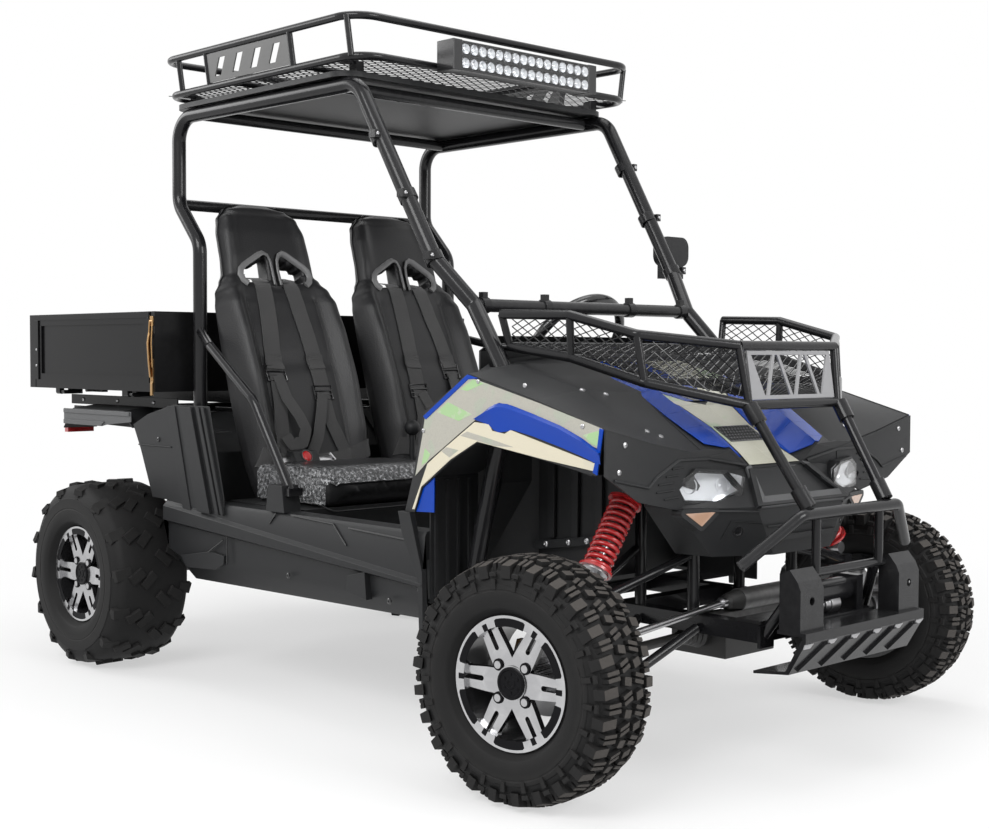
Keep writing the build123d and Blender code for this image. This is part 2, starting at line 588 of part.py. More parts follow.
BASKET_TOP = [(at(-348), -420, 1015), (at(-150), -400, 1010), (at(31), -382, 966), (at(155), -184, 943)]
BASKET_LOW = [(at(-340), -400, 940), (at(-150), -395, 915), (at(45), -372, 862), (at(175), -172, 812)]
BASKET_STRUT_TOP = (at(178), 175, 812)
BASKET_STRUT_FOOT = (at(327), 150, 583)
with BuildPart() as basket:
    for row in (BASKET_TOP, BASKET_LOW):
        tube(row, SMALL_TUBE_D, 12)
        tube(other_side(row), SMALL_TUBE_D, 12)
    for low, high in zip(BASKET_LOW, BASKET_TOP):
        tubes_both_sides([low, high], 18)
    for row in (BASKET_TOP, BASKET_LOW):
        tube([row[3], (row[3][0], -row[3][1], row[3][2])], SMALL_TUBE_D)
    tube([BASKET_LOW[0], other_side(BASKET_LOW)[0]], SMALL_TUBE_D)
    for x, y, z in (BASKET_LOW[1], BASKET_LOW[2]):
        tube([(x, y, z), (x, -y, z)], 16)
    tubes_both_sides([BASKET_STRUT_TOP, short_of(BASKET_STRUT_TOP, BASKET_STRUT_FOOT, 14.4)], 24)
    tubes_both_sides([short_of(BASKET_STRUT_TOP, BASKET_STRUT_FOOT, 62),
                      short_of(BASKET_STRUT_TOP, BASKET_STRUT_FOOT, 15.5)], 36)
    tubes_both_sides([BASKET_STRUT_TOP, short_of(BASKET_STRUT_FOOT, BASKET_STRUT_TOP, 46)], 36)
    tubes_both_sides([(at(-340), 400, 940), (at(-372), 423, 940)], 16)
    cut_by_cage(PIN_FIT)
save(basket, "basket")

TRUSS_HALF = 160
TRUSS_V = 54.5          # half height between the two front rails
TRUSS_EDGE = 9
truss_rise = Vector(-20, 0, 131).normalized()
truss_plane = Plane(origin=(at(165), 0, 877.5), x_dir=(0, 1, 0), z_dir=Vector(0, 1, 0).cross(truss_rise))
with BuildPart() as basket_truss:
    extrude(outline(truss_plane, [(-TRUSS_HALF, -TRUSS_V), (TRUSS_HALF, -TRUSS_V), (TRUSS_HALF, TRUSS_V),
                                  (-TRUSS_HALF, TRUSS_V)]), amount=2, both=True)
    pitch = TRUSS_HALF / 3
    inner = TRUSS_V - TRUSS_EDGE
    for n in range(5):
        left = -TRUSS_HALF + n * pitch
        low, high = (-inner, inner) if n % 2 else (inner, -inner)
        window = [(left + 14, low), (left + 2 * pitch - 14, low), (left + pitch + 4, high), (left + pitch - 4, high)]
        extrude(outline(truss_plane, window), amount=6, both=True, mode=Mode.SUBTRACT)
save(basket_truss, "basket_truss")

with BuildPart() as basket_mesh:
    shell_loft(Plane.YZ, [
        (at(-326), [(-386, 949), (386, 949)]),
        (at(-150), [(-382, 927.4), (382, 927.4)]),
        (at(45), [(-358, 874.6), (358, 874.6)]),
        (at(158), [(-155, 830), (155, 830)])],
        (0, -3))
save(basket_mesh, "basket_mesh")

with BuildPart() as mirror_left:
    block((at(-655), 490, 1178), (at(-625), 615, 1262))
    fillet(mirror_left.edges().filter_by(Axis.X), radius=30)
    block((at(-640), 492, 1140), (at(-600), 560, 1182))
    cylinder_between((at(-620), 500, 1160), (at(-553), 451, 1155), 10)
    cut_by_cage(PIN_FIT)
save(mirror_left, "mirror_left")

# ---------------------------------------------------------------- controls
with BuildPart() as steering_column:
    cylinder_between(along_column(40 + PIN_FIT), along_column(449), 20)
save(steering_column, "steering_column")

with BuildPart() as steering_wheel:
    rim_plane = Plane(origin=WHEEL_CENTRE, x_dir=(0, 1, 0), z_dir=COLUMN_DIR)
    with BuildSketch(Plane(origin=WHEEL_CENTRE, x_dir=(0, 1, 0), z_dir=rim_plane.y_dir)) as ring:
        with Locations((WHEEL_R, 0)):
            Circle(14)
    revolve(ring.sketch, axis=Axis(WHEEL_CENTRE, COLUMN_DIR))
    cylinder_between(along_column(40), along_column(-13), 34)
    for turn in (350, 190, 92):
        angle = math.radians(turn)
        tip = rim_plane.from_local_coords((WHEEL_R * math.cos(angle), WHEEL_R * math.sin(angle), 0))
        start = rim_plane.from_local_coords((20 * math.cos(angle), 20 * math.sin(angle), 0))
        cylinder_between(tuple(start), tuple(tip), 8)
save(steering_wheel, "steering_wheel")

with BuildPart() as gear_lever:
    cylinder_between((at(-1150), 0, CUSHION_LOW_Z), (at(-1150), 0, 700), 8)
    with Locations((at(-1150), 0, 706)):
        Sphere(23)
save(gear_lever, "gear_lever")

with BuildPart() as engine:
    block((at(-1745), -160, RAIL_Z + 20.3), (at(-1425), 160, 620))
    chamfer(engine.edges(), length=12)
save(engine, "engine")

with BuildPart() as exhaust:
    cylinder_between((at(-1820), -95, 480), (at(-2120), -95, 480), 55)
    cylinder_between((at(-2120), -95, 470), (at(-2160), -95, 460), 18)
    cylinder_between((at(-1745) - PIN_FIT, -95, 480), (at(-1821), -95, 480), 20)
save(exhaust, "exhaust")

# ---------------------------------------------------------------- front suspension and steering
UPPER_PIVOT_Z = 470
with BuildPart() as front_arms:
    for spread in (-1, 1):
        tubes_both_sides([(FRONT_AXLE_X + spread * 85, RAIL_Y + RAIL / 2 + 5.8, RAIL_Z - 8),
                          (FRONT_AXLE_X + spread * 10, KINGPIN_Y - 20, LOWER_EYE_Z - 3)], 22)
        tubes_both_sides([(TOWERS[max(spread, 0)], RAIL_Y + 14 + 4.4, UPPER_PIVOT_Z),
                          (FRONT_AXLE_X + spread * 10, KINGPIN_Y - 20, UPPER_EYE_Z + 3)], 20)
    for z in (LOWER_EYE_Z, UPPER_EYE_Z):
        cylinder_between((FRONT_AXLE_X, KINGPIN_Y, z - EYE_H / 2), (FRONT_AXLE_X, KINGPIN_Y, z + EYE_H / 2), 24)
        cylinder_between((FRONT_AXLE_X, -KINGPIN_Y, z - EYE_H / 2), (FRONT_AXLE_X, -KINGPIN_Y, z + EYE_H / 2), 24)
    for y in (-KINGPIN_Y, KINGPIN_Y):
        cylinder_between((FRONT_AXLE_X, y, LOWER_EYE_Z), (FRONT_AXLE_X, y, UPPER_EYE_Z), KINGPIN_D / 2)
    block_both_sides((FRONT_AXLE_X - 42, 460, 380), (FRONT_AXLE_X + 32, 490, SHOCK_FOOT[2] - 15 - PIN_FIT))
save(front_arms, "front_arms")


SPRING_LOW = 0.14       # shares of the way from the foot's eye to the top eye
SPRING_HIGH = 0.86


def part_way(foot, top, share):
    return tuple(a + (b - a) * share for a, b in zip(foot, top))


def mirrored_point(point):
    return (point[0], -point[1], point[2])


def damper(foot, top, body_r, rod_r):
    """Add one shock absorber: its body above, its rod below and an eye at each end."""
    run = Vector(*top) - Vector(*foot)
    middle = tuple(Vector(*foot) + run * 0.45)
    shoulder = short_of(foot, top, 22)
    axis = run.normalized()
    for share, side in ((SPRING_LOW, -1), (SPRING_HIGH, 1)):
        seat = Vector(*part_way(foot, top, share)) + axis * (side * PIN_FIT)
        cylinder_between(tuple(seat), tuple(seat + axis * (side * 4)), 31)
    cylinder_between(foot, middle, rod_r)
    cylinder_between(middle, shoulder, body_r)
    cylinder_between(shoulder, top, rod_r + 2)
    for end in (foot, top):
        cylinder_between((end[0] - 16, end[1], end[2]), (end[0] + 16, end[1], end[2]), 15)


def spring(foot, top, outer_r, coils):
    """Add one coil spring as a grooved sleeve round its damper."""
    run = Vector(*top) - Vector(*foot)
    side = Plane(origin=foot, x_dir=run, z_dir=run.cross(Vector(0, 0, 1)))
    pitch = run.length / coils
    inner = outer_r - 9
    points = [(0, inner - 4)]
    for n in range(coils):
        points += [(pitch * n, inner), (pitch * (n + 0.3), outer_r), (pitch * (n + 0.7), outer_r)]
    points += [(run.length, inner), (run.length, inner - 4)]
    revolve(outline(side, points), axis=Axis(foot, run))


with BuildPart() as shock_dampers:
    for foot, top in ((SHOCK_FOOT, SHOCK_TOP), (REAR_SHOCK_FOOT, REAR_SHOCK_TOP)):
        damper(foot, top, 18, 8)
        damper(mirrored_point(foot), mirrored_point(top), 18, 8)
save(shock_dampers, "shock_dampers")

with BuildPart() as shock_springs:
    for foot, top in ((SHOCK_FOOT, SHOCK_TOP), (REAR_SHOCK_FOOT, REAR_SHOCK_TOP)):
        low, high = part_way(foot, top, SPRING_LOW), part_way(foot, top, SPRING_HIGH)
        spring(low, high, 33, 8)
        spring(mirrored_point(low), mirrored_point(high), 33, 8)
save(shock_springs, "shock_springs")

turn = math.radians(STEER_REST)
FORWARD = Vector(math.cos(turn), math.sin(turn), 0)
LEFTWARD = Vector(-math.sin(turn), math.cos(turn), 0)
ARM_Z = 300
ARM_EYE = 11            # half height of the eye at the arm's end


def knuckle(side):
    """Add a steered knuckle; side is -1 on the right and 1 on the left."""
    pivot = Vector(FRONT_AXLE_X, side * KINGPIN_Y, 0)
    out = LEFTWARD * side
    low = LOWER_EYE_Z + EYE_H / 2 + 0.5
    high = UPPER_EYE_Z - EYE_H / 2 - 0.5
    cylinder_between(tuple(pivot + Vector(0, 0, low)), tuple(pivot + Vector(0, 0, high)), 19)
    hub = pivot + Vector(0, 0, FRONT_TYRE_R)
    cylinder_between(tuple(hub), tuple(hub + out * 42), 34)
    cylinder_between(tuple(hub + out * 40), tuple(hub + out * (FRONT_OFFSET + 25)), SPINDLE_D / 2)
    tip = pivot + FORWARD * STEER_ARM + Vector(0, 0, ARM_Z)
    cylinder_between(tuple(pivot + Vector(0, 0, ARM_Z)), tuple(tip), 7)
    cylinder_between(tuple(tip - Vector(0, 0, ARM_EYE)), tuple(tip + Vector(0, 0, ARM_EYE)), 14)
    cylinder_between(tuple(pivot + Vector(0, 0, low - 1)), tuple(pivot + Vector(0, 0, high + 1)),
                     KINGPIN_D / 2 + PIN_FIT, mode=Mode.SUBTRACT)


with BuildPart() as knuckle_right:
    knuckle(-1)
save(knuckle_right, "knuckle_right")

with BuildPart() as knuckle_left:
    knuckle(1)
save(knuckle_left, "knuckle_left")

RACK_SHIFT = STEER_ARM * math.sin(turn)
ROD_Z = ARM_Z + ARM_EYE + PIN_FIT
RACK_Z = 362
with BuildPart() as tie_rods:
    for side in (-1, 1):
        end_x = FRONT_AXLE_X + STEER_ARM * math.cos(turn)
        end = (end_x, side * KINGPIN_Y + RACK_SHIFT, ROD_Z + 8)
        inner = (end_x, side * 150 + RACK_SHIFT, RACK_Z)
        cylinder_between((end[0], end[1], ROD_Z), (end[0], end[1], ROD_Z + 16), 13)
        cylinder_between(end, inner, 8)
    cylinder_between((end_x, -160 + RACK_SHIFT, RACK_Z), (end_x, 160 + RACK_SHIFT, RACK_Z), 12)
save(tie_rods, "tie_rods")

with BuildPart() as steering_rack:
    cylinder_between((end_x, -85, RACK_Z), (end_x, 85, RACK_Z), 26)
    cylinder_between((end_x, -86, RACK_Z), (end_x, 86, RACK_Z), 12 + PIN_FIT, mode=Mode.SUBTRACT)
    block((end_x - 15, -RAIL_Y + RAIL / 2 + PIN_FIT, RAIL_Z), (end_x + 15, RAIL_Y - RAIL / 2 - PIN_FIT, RAIL_Z + 20))
save(steering_rack, "steering_rack")

# ---------------------------------------------------------------- rear axle
with BuildPart() as rear_axle:
    cylinder_between((REAR_AXLE_X, -455, REAR_TYRE_R), (REAR_AXLE_X, 455, REAR_TYRE_R), 26)
    cylinder_between((REAR_AXLE_X, -80, REAR_TYRE_R), (REAR_AXLE_X, 80, REAR_TYRE_R), 80)
    for side in (-1, 1):
        cylinder_between((REAR_AXLE_X, side * 455, REAR_TYRE_R), (REAR_AXLE_X, side * (REAR_TYRE_Y + 60), REAR_TYRE_R),
                         SPINDLE_D / 2)
        cylinder_between((REAR_AXLE_X, side * 300, REAR_TYRE_R), (at(-1490), side * 250, RAIL_Z), 20)
        cylinder_between((at(-1490), side * (RAIL_Y + RAIL / 2 + PIN_FIT), RAIL_Z), (at(-1490), side * 275, RAIL_Z), 22)
        block((REAR_AXLE_X - 12, min(side * 315, side * 345), REAR_TYRE_R),
              (REAR_AXLE_X + 32, max(side * 315, side * 345), REAR_SHOCK_FOOT[2] - 15 - PIN_FIT))
save(rear_axle, "rear_axle")

# ---------------------------------------------------------------- wheels
SPOKES = 6
NUT_CIRCLE_R = 48
WINDOW = [              # (outward, across) of one opening between two spokes
    (52, 0), (70, -11), (108, -37), (118, -34), (122, -18), (122, 18), (118, 34), (108, 37), (70, 11)]


def wheel_axis(centre, out):
    return Axis(tuple(centre), tuple(out))


def wheel_section(centre, out):
    """A plane through the wheel's axis: its x runs outward and its y runs up."""
    return Plane(origin=tuple(centre), x_dir=tuple(out), z_dir=tuple(Vector(*out).cross(Vector(0, 0, 1))))


# One lug: (row, share of a pitch round, across from the middle, length across, length round, lean).
FRONT_LUGS = ((-1, 0, 0.74, 0.46, 34, 0.1), (1, 0, 0.74, 0.46, 34, 0.1), (-1, 0.5, 0.24, 0.4, 30, 0.3),
              (1, 0.5, 0.24, 0.4, 30, 0.3))
REAR_LUGS = ((-1, 0.02, 0.26, 0.56, 27, 0.85), (1, 0.52, 0.26, 0.56, 27, 0.85), (-1, 0.22, 0.74, 0.52, 30, 0.3),
             (1, 0.72, 0.74, 0.52, 30, 0.3))


def tyre(centre, out, radius, half, rim_half, count, lugs):
    """Add one tyre with its carcass and a repeated set of lugs."""
    carcass = radius - LUG_H
    shoulder = half - 26
    bead = rim_half - RIM_LIP - PIN_FIT
    half_profile = [(bead, BEAD_R), (bead, FLANGE_R + 2), (half, FLANGE_R + 36), (half, carcass - 42),
                    (shoulder, carcass - 4)]
    profile = [(-u, v) for u, v in half_profile] + [(0, carcass)] + half_profile[::-1]
    revolve(outline(wheel_section(centre, out), profile), axis=wheel_axis(centre, out))
    axis = Vector(*out)
    up = Vector(0, 0, 1)
    ahead = axis.cross(up)
    for n in range(count):
        for row, share, across, length, width, lean in lugs:
            angle = 2 * math.pi * (n + share) / count
            outward = up * math.cos(angle) + ahead * math.sin(angle)
            along = axis.cross(outward)
            root = Vector(*centre) + outward * (carcass - LUG_SINK) + axis * (row * half * across)
            pad = Plane(origin=tuple(root), x_dir=tuple(axis + along * (lean * row)), z_dir=tuple(outward))
            with BuildSketch(pad) as face:
                Rectangle(half * length, width)
            extrude(face.sketch, amount=LUG_H + LUG_SINK)
    inner, outer = (tuple(Vector(*centre) + axis * (side * (half + 5))) for side in (-1, 1))
    cylinder_between(inner, outer, radius, mode=Mode.INTERSECT)


def rim(centre, out, half, face_u, hub_inner_u, bore_depth_u):
    """Add one cast rim: barrel, flanges, spoked face and hub."""
    section = wheel_section(centre, out)
    lip = RIM_LIP
    seat = BEAD_R - PIN_FIT
    barrel = [(-half, BEAD_R - 9), (-half, FLANGE_R), (-half + lip, FLANGE_R), (-half + lip, seat),
              (half - lip, seat), (half - lip, FLANGE_R), (half, FLANGE_R), (half, BEAD_R - 9)]
    revolve(outline(section, barrel), axis=wheel_axis(centre, out))
    face = Plane(origin=tuple(Vector(*centre) + Vector(*out) * (face_u - 12)), x_dir=(0, 0, 1), z_dir=tuple(out))
    with BuildSketch(face) as disc:
        Circle(BEAD_R - 5)
        with PolarLocations(0, SPOKES):
            Polygon(*WINDOW, align=None, mode=Mode.SUBTRACT)
        with PolarLocations(98, SPOKES, start_angle=30):
            SlotOverall(50, 11, mode=Mode.SUBTRACT)
    extrude(disc.sketch, amount=14)
    for n in range(4):
        angle = math.radians(45 + 90 * n)
        nut = face.from_local_coords((NUT_CIRCLE_R * math.cos(angle), NUT_CIRCLE_R * math.sin(angle), 0))
        cylinder_between(tuple(nut), tuple(nut + Vector(*out) * 19), 8)
    hub_from = Vector(*centre) + Vector(*out) * hub_inner_u
    cylinder_between(tuple(hub_from), tuple(Vector(*centre) + Vector(*out) * (face_u + 5)), HUB_R)
    cylinder_between(tuple(hub_from - Vector(*out) * 1), tuple(Vector(*centre) + Vector(*out) * bore_depth_u),
                     SPINDLE_D / 2 + PIN_FIT, mode=Mode.SUBTRACT)
    disc_at = Vector(*centre) + Vector(*out) * (hub_inner_u + 8)
    cylinder_between(tuple(disc_at), tuple(disc_at + Vector(*out) * 5), 88)
    cylinder_between(tuple(disc_at - Vector(*out)), tuple(disc_at + Vector(*out) * 6),
                     SPINDLE_D / 2 + PIN_FIT, mode=Mode.SUBTRACT)


for side, name in ((-1, "right"), (1, "left")):
    front_out = LEFTWARD * side
    front_middle = Vector(FRONT_AXLE_X, side * KINGPIN_Y, FRONT_TYRE_R) + front_out * FRONT_OFFSET
    rear_out = Vector(0, side, 0)
    rear_middle = Vector(REAR_AXLE_X, side * REAR_TYRE_Y, REAR_TYRE_R)
    with BuildPart() as front_tyre:
        tyre(front_middle, front_out, FRONT_TYRE_R, FRONT_TYRE_W / 2, FRONT_RIM_HALF, 18, FRONT_LUGS)
    save(front_tyre, f"front_{name}_tyre")
    with BuildPart() as front_rim:
        rim(front_middle, front_out, FRONT_RIM_HALF, 58, -64, 30)
    save(front_rim, f"front_{name}_rim")
    with BuildPart() as rear_tyre:
        tyre(rear_middle, rear_out, REAR_TYRE_R, REAR_TYRE_W / 2, REAR_RIM_HALF, 14, REAR_LUGS)
    save(rear_tyre, f"rear_{name}_tyre")
    with BuildPart() as rear_rim:
        rim(rear_middle, rear_out, REAR_RIM_HALF, 86, -95, 65)
    save(rear_rim, f"rear_{name}_rim")

# ---------------------------------------------------------------- dump bed
BED_INNER = BED_HALF - BED_WALL
HINGE_DROP = 10         # the side and tail hinges lie this far below the bed's floor
HINGE_PIN_R = 5
EAR = 24                # length of one hinge ear
HINGE_Z = BED_FLOOR_Z - HINGE_DROP
TAIL_HINGE_X = at(BED_REAR)
SIDE_HINGE_Y = BED_HALF - BED_WALL / 2
TAIL_EARS = (-400, 400)
SIDE_EARS = (at(-2150), at(-1740))

with BuildPart() as bed_tray:
    block((at(BED_REAR + BED_WALL + BED_GAP), -BED_INNER + BED_GAP, BED_FLOOR_Z),
          (at(BED_FRONT), BED_INNER - BED_GAP, BED_FLOOR_Z + 6))
    block((at(BED_FRONT - BED_WALL), -BED_HALF, BED_FLOOR_Z), (at(BED_FRONT), BED_HALF, BED_TOP_Z))
    block_both_sides((at(-2260), 270, BED_FLOOR_Z - 38), (at(-1620), 310, BED_FLOOR_Z))
    for y in (-225, 225):
        block((BED_HINGE_X - 14, y - 12, BED_HINGE_Z), (BED_HINGE_X + 14, y + 12, BED_FLOOR_Z))
        cylinder_between((BED_HINGE_X, y - 12, BED_HINGE_Z), (BED_HINGE_X, y + 12, BED_HINGE_Z), 18)
        cylinder_between((BED_HINGE_X, y - 13, BED_HINGE_Z), (BED_HINGE_X, y + 13, BED_HINGE_Z),
                         BED_HINGE_R + PIN_FIT, mode=Mode.SUBTRACT)
    for y in TAIL_EARS:
        block((TAIL_HINGE_X, y + EAR / 2 + 1, HINGE_Z - 8), (TAIL_HINGE_X + 60, y + EAR / 2 + 21, HINGE_Z + 5))
        block((TAIL_HINGE_X + 24, y + EAR / 2 + 1, HINGE_Z), (TAIL_HINGE_X + 60, y + EAR / 2 + 21, BED_FLOOR_Z))
        cylinder_between((TAIL_HINGE_X, y - EAR / 2, HINGE_Z), (TAIL_HINGE_X, y + EAR / 2 + 21, HINGE_Z), HINGE_PIN_R)
    for x in SIDE_EARS:
        for hand in (-1, 1):
            edge = hand * SIDE_HINGE_Y
            block((x + EAR / 2 + 1, min(edge, hand * (SIDE_HINGE_Y - 60)), HINGE_Z - 7),
                  (x + EAR / 2 + 21, max(edge, hand * (SIDE_HINGE_Y - 60)), HINGE_Z + 5))
            block((x + EAR / 2 + 1, min(hand * (SIDE_HINGE_Y - 20), hand * (SIDE_HINGE_Y - 60)), HINGE_Z),
                  (x + EAR / 2 + 21, max(hand * (SIDE_HINGE_Y - 20), hand * (SIDE_HINGE_Y - 60)), BED_FLOOR_Z))
            cylinder_between((x - EAR / 2, edge, HINGE_Z), (x + EAR / 2 + 21, edge, HINGE_Z), HINGE_PIN_R)
save(bed_tray, "bed_tray")

with BuildPart() as bed_side_right:
    block((at(BED_REAR + BED_WALL + BED_GAP), -BED_HALF, BED_FLOOR_Z),
          (at(BED_FRONT - BED_WALL - BED_GAP), -BED_INNER, BED_TOP_Z))
    block((at(BED_REAR + BED_WALL + 40), -BED_HALF, BED_FLOOR_Z + 45),
          (at(BED_FRONT - BED_WALL - 40), -BED_HALF + 6, BED_TOP_Z - 35), mode=Mode.SUBTRACT)
    for x in SIDE_EARS:
        block((x - EAR / 2, -SIDE_HINGE_Y - 8, HINGE_Z), (x + EAR / 2, -SIDE_HINGE_Y + 8, BED_FLOOR_Z))
        cylinder_between((x - EAR / 2, -SIDE_HINGE_Y, HINGE_Z), (x + EAR / 2, -SIDE_HINGE_Y, HINGE_Z), 8)
        cylinder_between((x - EAR / 2 - 1, -SIDE_HINGE_Y, HINGE_Z), (x + EAR / 2 + 1, -SIDE_HINGE_Y, HINGE_Z),
                         HINGE_PIN_R + PIN_FIT, mode=Mode.SUBTRACT)
save(bed_side_right, "bed_side_right")

with BuildPart() as bed_side_left:
    mirror(bed_side_right.part, about=Plane.XZ)
save(bed_side_left, "bed_side_left")

with BuildPart() as tailgate:
    block((at(BED_REAR - 18), -BED_HALF, BED_FLOOR_Z), (at(BED_REAR + BED_WALL), BED_HALF, BED_TOP_Z))
    block((at(BED_REAR - 18), -BED_HALF + 45, BED_FLOOR_Z + 45), (at(BED_REAR - 8), BED_HALF - 45, BED_TOP_Z - 35),
          mode=Mode.SUBTRACT)
    for y in TAIL_EARS:
        block((TAIL_HINGE_X - 8, y - EAR / 2, HINGE_Z), (TAIL_HINGE_X + 8, y + EAR / 2, BED_FLOOR_Z))
        cylinder_between((TAIL_HINGE_X, y - EAR / 2, HINGE_Z), (TAIL_HINGE_X, y + EAR / 2, HINGE_Z), 8)
        cylinder_between((TAIL_HINGE_X, y - EAR / 2 - 1, HINGE_Z), (TAIL_HINGE_X, y + EAR / 2 + 1, HINGE_Z),
                         HINGE_PIN_R + PIN_FIT, mode=Mode.SUBTRACT)
save(tailgate, "tailgate")
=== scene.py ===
"""Looks of a two seat side by side utility vehicle."""
import json
import math

import bmesh
import bpy
from mathutils import Matrix, Vector, noise


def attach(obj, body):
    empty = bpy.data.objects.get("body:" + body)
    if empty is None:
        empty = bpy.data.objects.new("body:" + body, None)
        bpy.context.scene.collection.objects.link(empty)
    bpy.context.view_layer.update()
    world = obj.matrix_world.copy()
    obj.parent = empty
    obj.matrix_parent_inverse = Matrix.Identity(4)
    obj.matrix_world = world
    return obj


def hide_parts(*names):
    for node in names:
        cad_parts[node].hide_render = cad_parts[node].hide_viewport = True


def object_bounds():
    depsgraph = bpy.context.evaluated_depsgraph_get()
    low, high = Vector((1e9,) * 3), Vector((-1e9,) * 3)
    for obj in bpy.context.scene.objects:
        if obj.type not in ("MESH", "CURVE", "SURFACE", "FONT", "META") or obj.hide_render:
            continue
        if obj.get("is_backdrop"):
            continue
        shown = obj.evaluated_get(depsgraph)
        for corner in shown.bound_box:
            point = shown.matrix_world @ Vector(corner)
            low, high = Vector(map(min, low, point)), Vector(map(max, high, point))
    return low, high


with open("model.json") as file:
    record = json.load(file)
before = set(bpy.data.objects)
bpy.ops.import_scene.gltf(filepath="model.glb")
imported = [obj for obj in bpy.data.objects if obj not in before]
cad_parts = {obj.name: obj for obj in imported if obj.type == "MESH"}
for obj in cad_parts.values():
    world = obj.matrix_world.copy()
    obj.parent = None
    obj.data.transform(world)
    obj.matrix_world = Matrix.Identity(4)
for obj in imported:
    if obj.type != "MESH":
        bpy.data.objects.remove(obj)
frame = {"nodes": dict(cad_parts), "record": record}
cad_low, cad_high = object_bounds()
scene = bpy.context.scene
scene.view_settings.view_transform = "Standard"
STATION = 0.979         # x of body station zero, just ahead of the front axle
HANDS = ((-1, "right"), (1, "left"))
UP = Vector((0, 0, 1))


def at(station):
    """The x of a body station."""
    return STATION + station


def sided(points, hand=1):
    """Places from (station, half width, height) on one side of the vehicle."""
    return [(at(x), hand * y, z) for x, y, z in points]


# ------------------------------------------------------------ shader nodes
def fed(tree, taker, values):
    """Sets a node's inputs by name or number, each to a value or to another node's output."""
    for key, value in values.items():
        if isinstance(value, bpy.types.NodeSocket):
            tree.links.new(value, taker.inputs[key])
        else:
            taker.inputs[key].default_value = value
    return taker


def node(tree, kind, values, **settings):
    """A new shader node with its inputs and settings; gives its outputs."""
    made = tree.nodes.new("ShaderNode" + kind)
    for name, value in settings.items():
        setattr(made, name, value)
    return fed(tree, made, values).outputs


def coords_in(tree):
    """The object's own coordinates."""
    return tree.nodes.new("ShaderNodeTexCoord").outputs["Object"]


def maths(tree, operation, *values, clamp=False):
    """The outcome of one sum in a node tree."""
    return node(tree, "Math", dict(enumerate(values)), operation=operation, use_clamp=clamp)[0]


def ramped(tree, value, low, high, **settings):
    """0 below low, 1 above high."""
    return node(tree, "MapRange", {"Value": value, "From Min": low, "From Max": high}, **settings)["Result"]


def varied(tree, mask, low, high):
    """A number that runs from low to high with a mask."""
    return node(tree, "MapRange", {"Value": mask, "To Min": low, "To Max": high})["Result"]


def noise_of(tree, coords, scale, detail=4.0):
    """Cloudy noise between 0 and 1."""
    return node(tree, "TexNoise", {"Vector": coords, "Scale": scale, "Detail": detail})["Fac"]


def material(name):
    """A new node material, with its shader and its tree."""
    made = bpy.data.materials.new(name)
    made.use_nodes = True
    return made, made.node_tree.nodes["Principled BSDF"], made.node_tree


# ------------------------------------------------------------ camera, floor and light
AZIMUTH, ELEVATION, ROLL = (math.radians(angle) for angle in (46.64, 2.4, 0.18))
FOCAL_PIXELS, PICTURE_PIXELS, SENSOR = 1492, 989, 36
CAMERA_PLACE = (2.141 + STATION, -2.849, 0.927)
FLOOR_SIZE, FLOOR_WHITE = 60, 0.85
SHADOW_REACH = (1.0, 3.6)       # from the object's shadow out to plain white
WORLD_LIGHT = 0.5

back = Vector((math.sin(AZIMUTH) * math.cos(ELEVATION), -math.cos(AZIMUTH) * math.cos(ELEVATION), math.sin(ELEVATION)))
right = Vector((math.cos(AZIMUTH), math.sin(AZIMUTH), 0))
camera_data = bpy.data.cameras.new("camera")
camera_data.sensor_width = SENSOR
camera_data.lens = FOCAL_PIXELS * SENSOR / PICTURE_PIXELS
camera_data.shift_x = 0.018
camera = bpy.data.objects.new("camera", camera_data)
scene.collection.objects.link(camera)
turn = Matrix((right, back.cross(right), back)).transposed() @ Matrix.Rotation(ROLL, 3, "Z")
camera.matrix_world = Matrix.Translation(CAMERA_PLACE) @ turn.to_4x4()
scene.camera = camera


def looked_at(tree):
    """1 for what the camera sees straight, in a mirror or through glass."""
    path = node(tree, "LightPath", {})
    found = path["Is Camera Ray"]
    for name in ("Is Glossy Ray", "Is Transmission Ray"):
        found = maths(tree, "MAXIMUM", found, path[name])
    return found


def white_backdrop():
    """Floor and world: white to the eye, to mirrors and through glass, plain light on the object."""
    bpy.ops.mesh.primitive_plane_add(size=FLOOR_SIZE)
    floor = bpy.context.object
    floor.name = "studio_floor"
    made, shader, tree = material("studio_floor_paper")
    fed(tree, shader, {"Base Color": (FLOOR_WHITE, FLOOR_WHITE, FLOOR_WHITE, 1), "Roughness": 0.9})
    reach = node(tree, "VectorMath", {0: coords_in(tree)}, operation="LENGTH")["Value"]
    low, high = SHADOW_REACH
    fade = node(tree, "MapRange", {"Value": reach, "From Min": low, "From Max": high, "To Min": 0.55},
                interpolation_type="SMOOTHSTEP")["Result"]
    share = maths(tree, "MULTIPLY", looked_at(tree), fade)
    mix = node(tree, "MixShader", {0: share, 1: shader.outputs[0], 2: node(tree, "Emission", {})[0]})
    tree.links.new(mix[0], tree.nodes["Material Output"].inputs["Surface"])
    floor.data.materials.append(made)
    floor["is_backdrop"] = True
    world = bpy.data.worlds.new("studio")
    world.use_nodes = True
    scene.world = world
    level = varied(world.node_tree, looked_at(world.node_tree), WORLD_LIGHT, 1.0)
    fed(world.node_tree, world.node_tree.nodes["Background"], {"Color": (1, 1, 1, 1), "Strength": level})


def area_light(name, place, size, power, target=(0, 0, 0.7)):
    """A rectangular lamp that looks at the middle of the vehicle."""
    data = bpy.data.lights.new(name, "AREA")
    data.shape = "RECTANGLE"
    data.size, data.size_y = size
    data.energy = power
    lamp = bpy.data.objects.new(name, data)
    scene.collection.objects.link(lamp)
    lamp.location = place
    lamp.rotation_mode = "QUATERNION"
    lamp.rotation_quaternion = (Vector(target) - Vector(place)).to_track_quat("-Z", "Y")


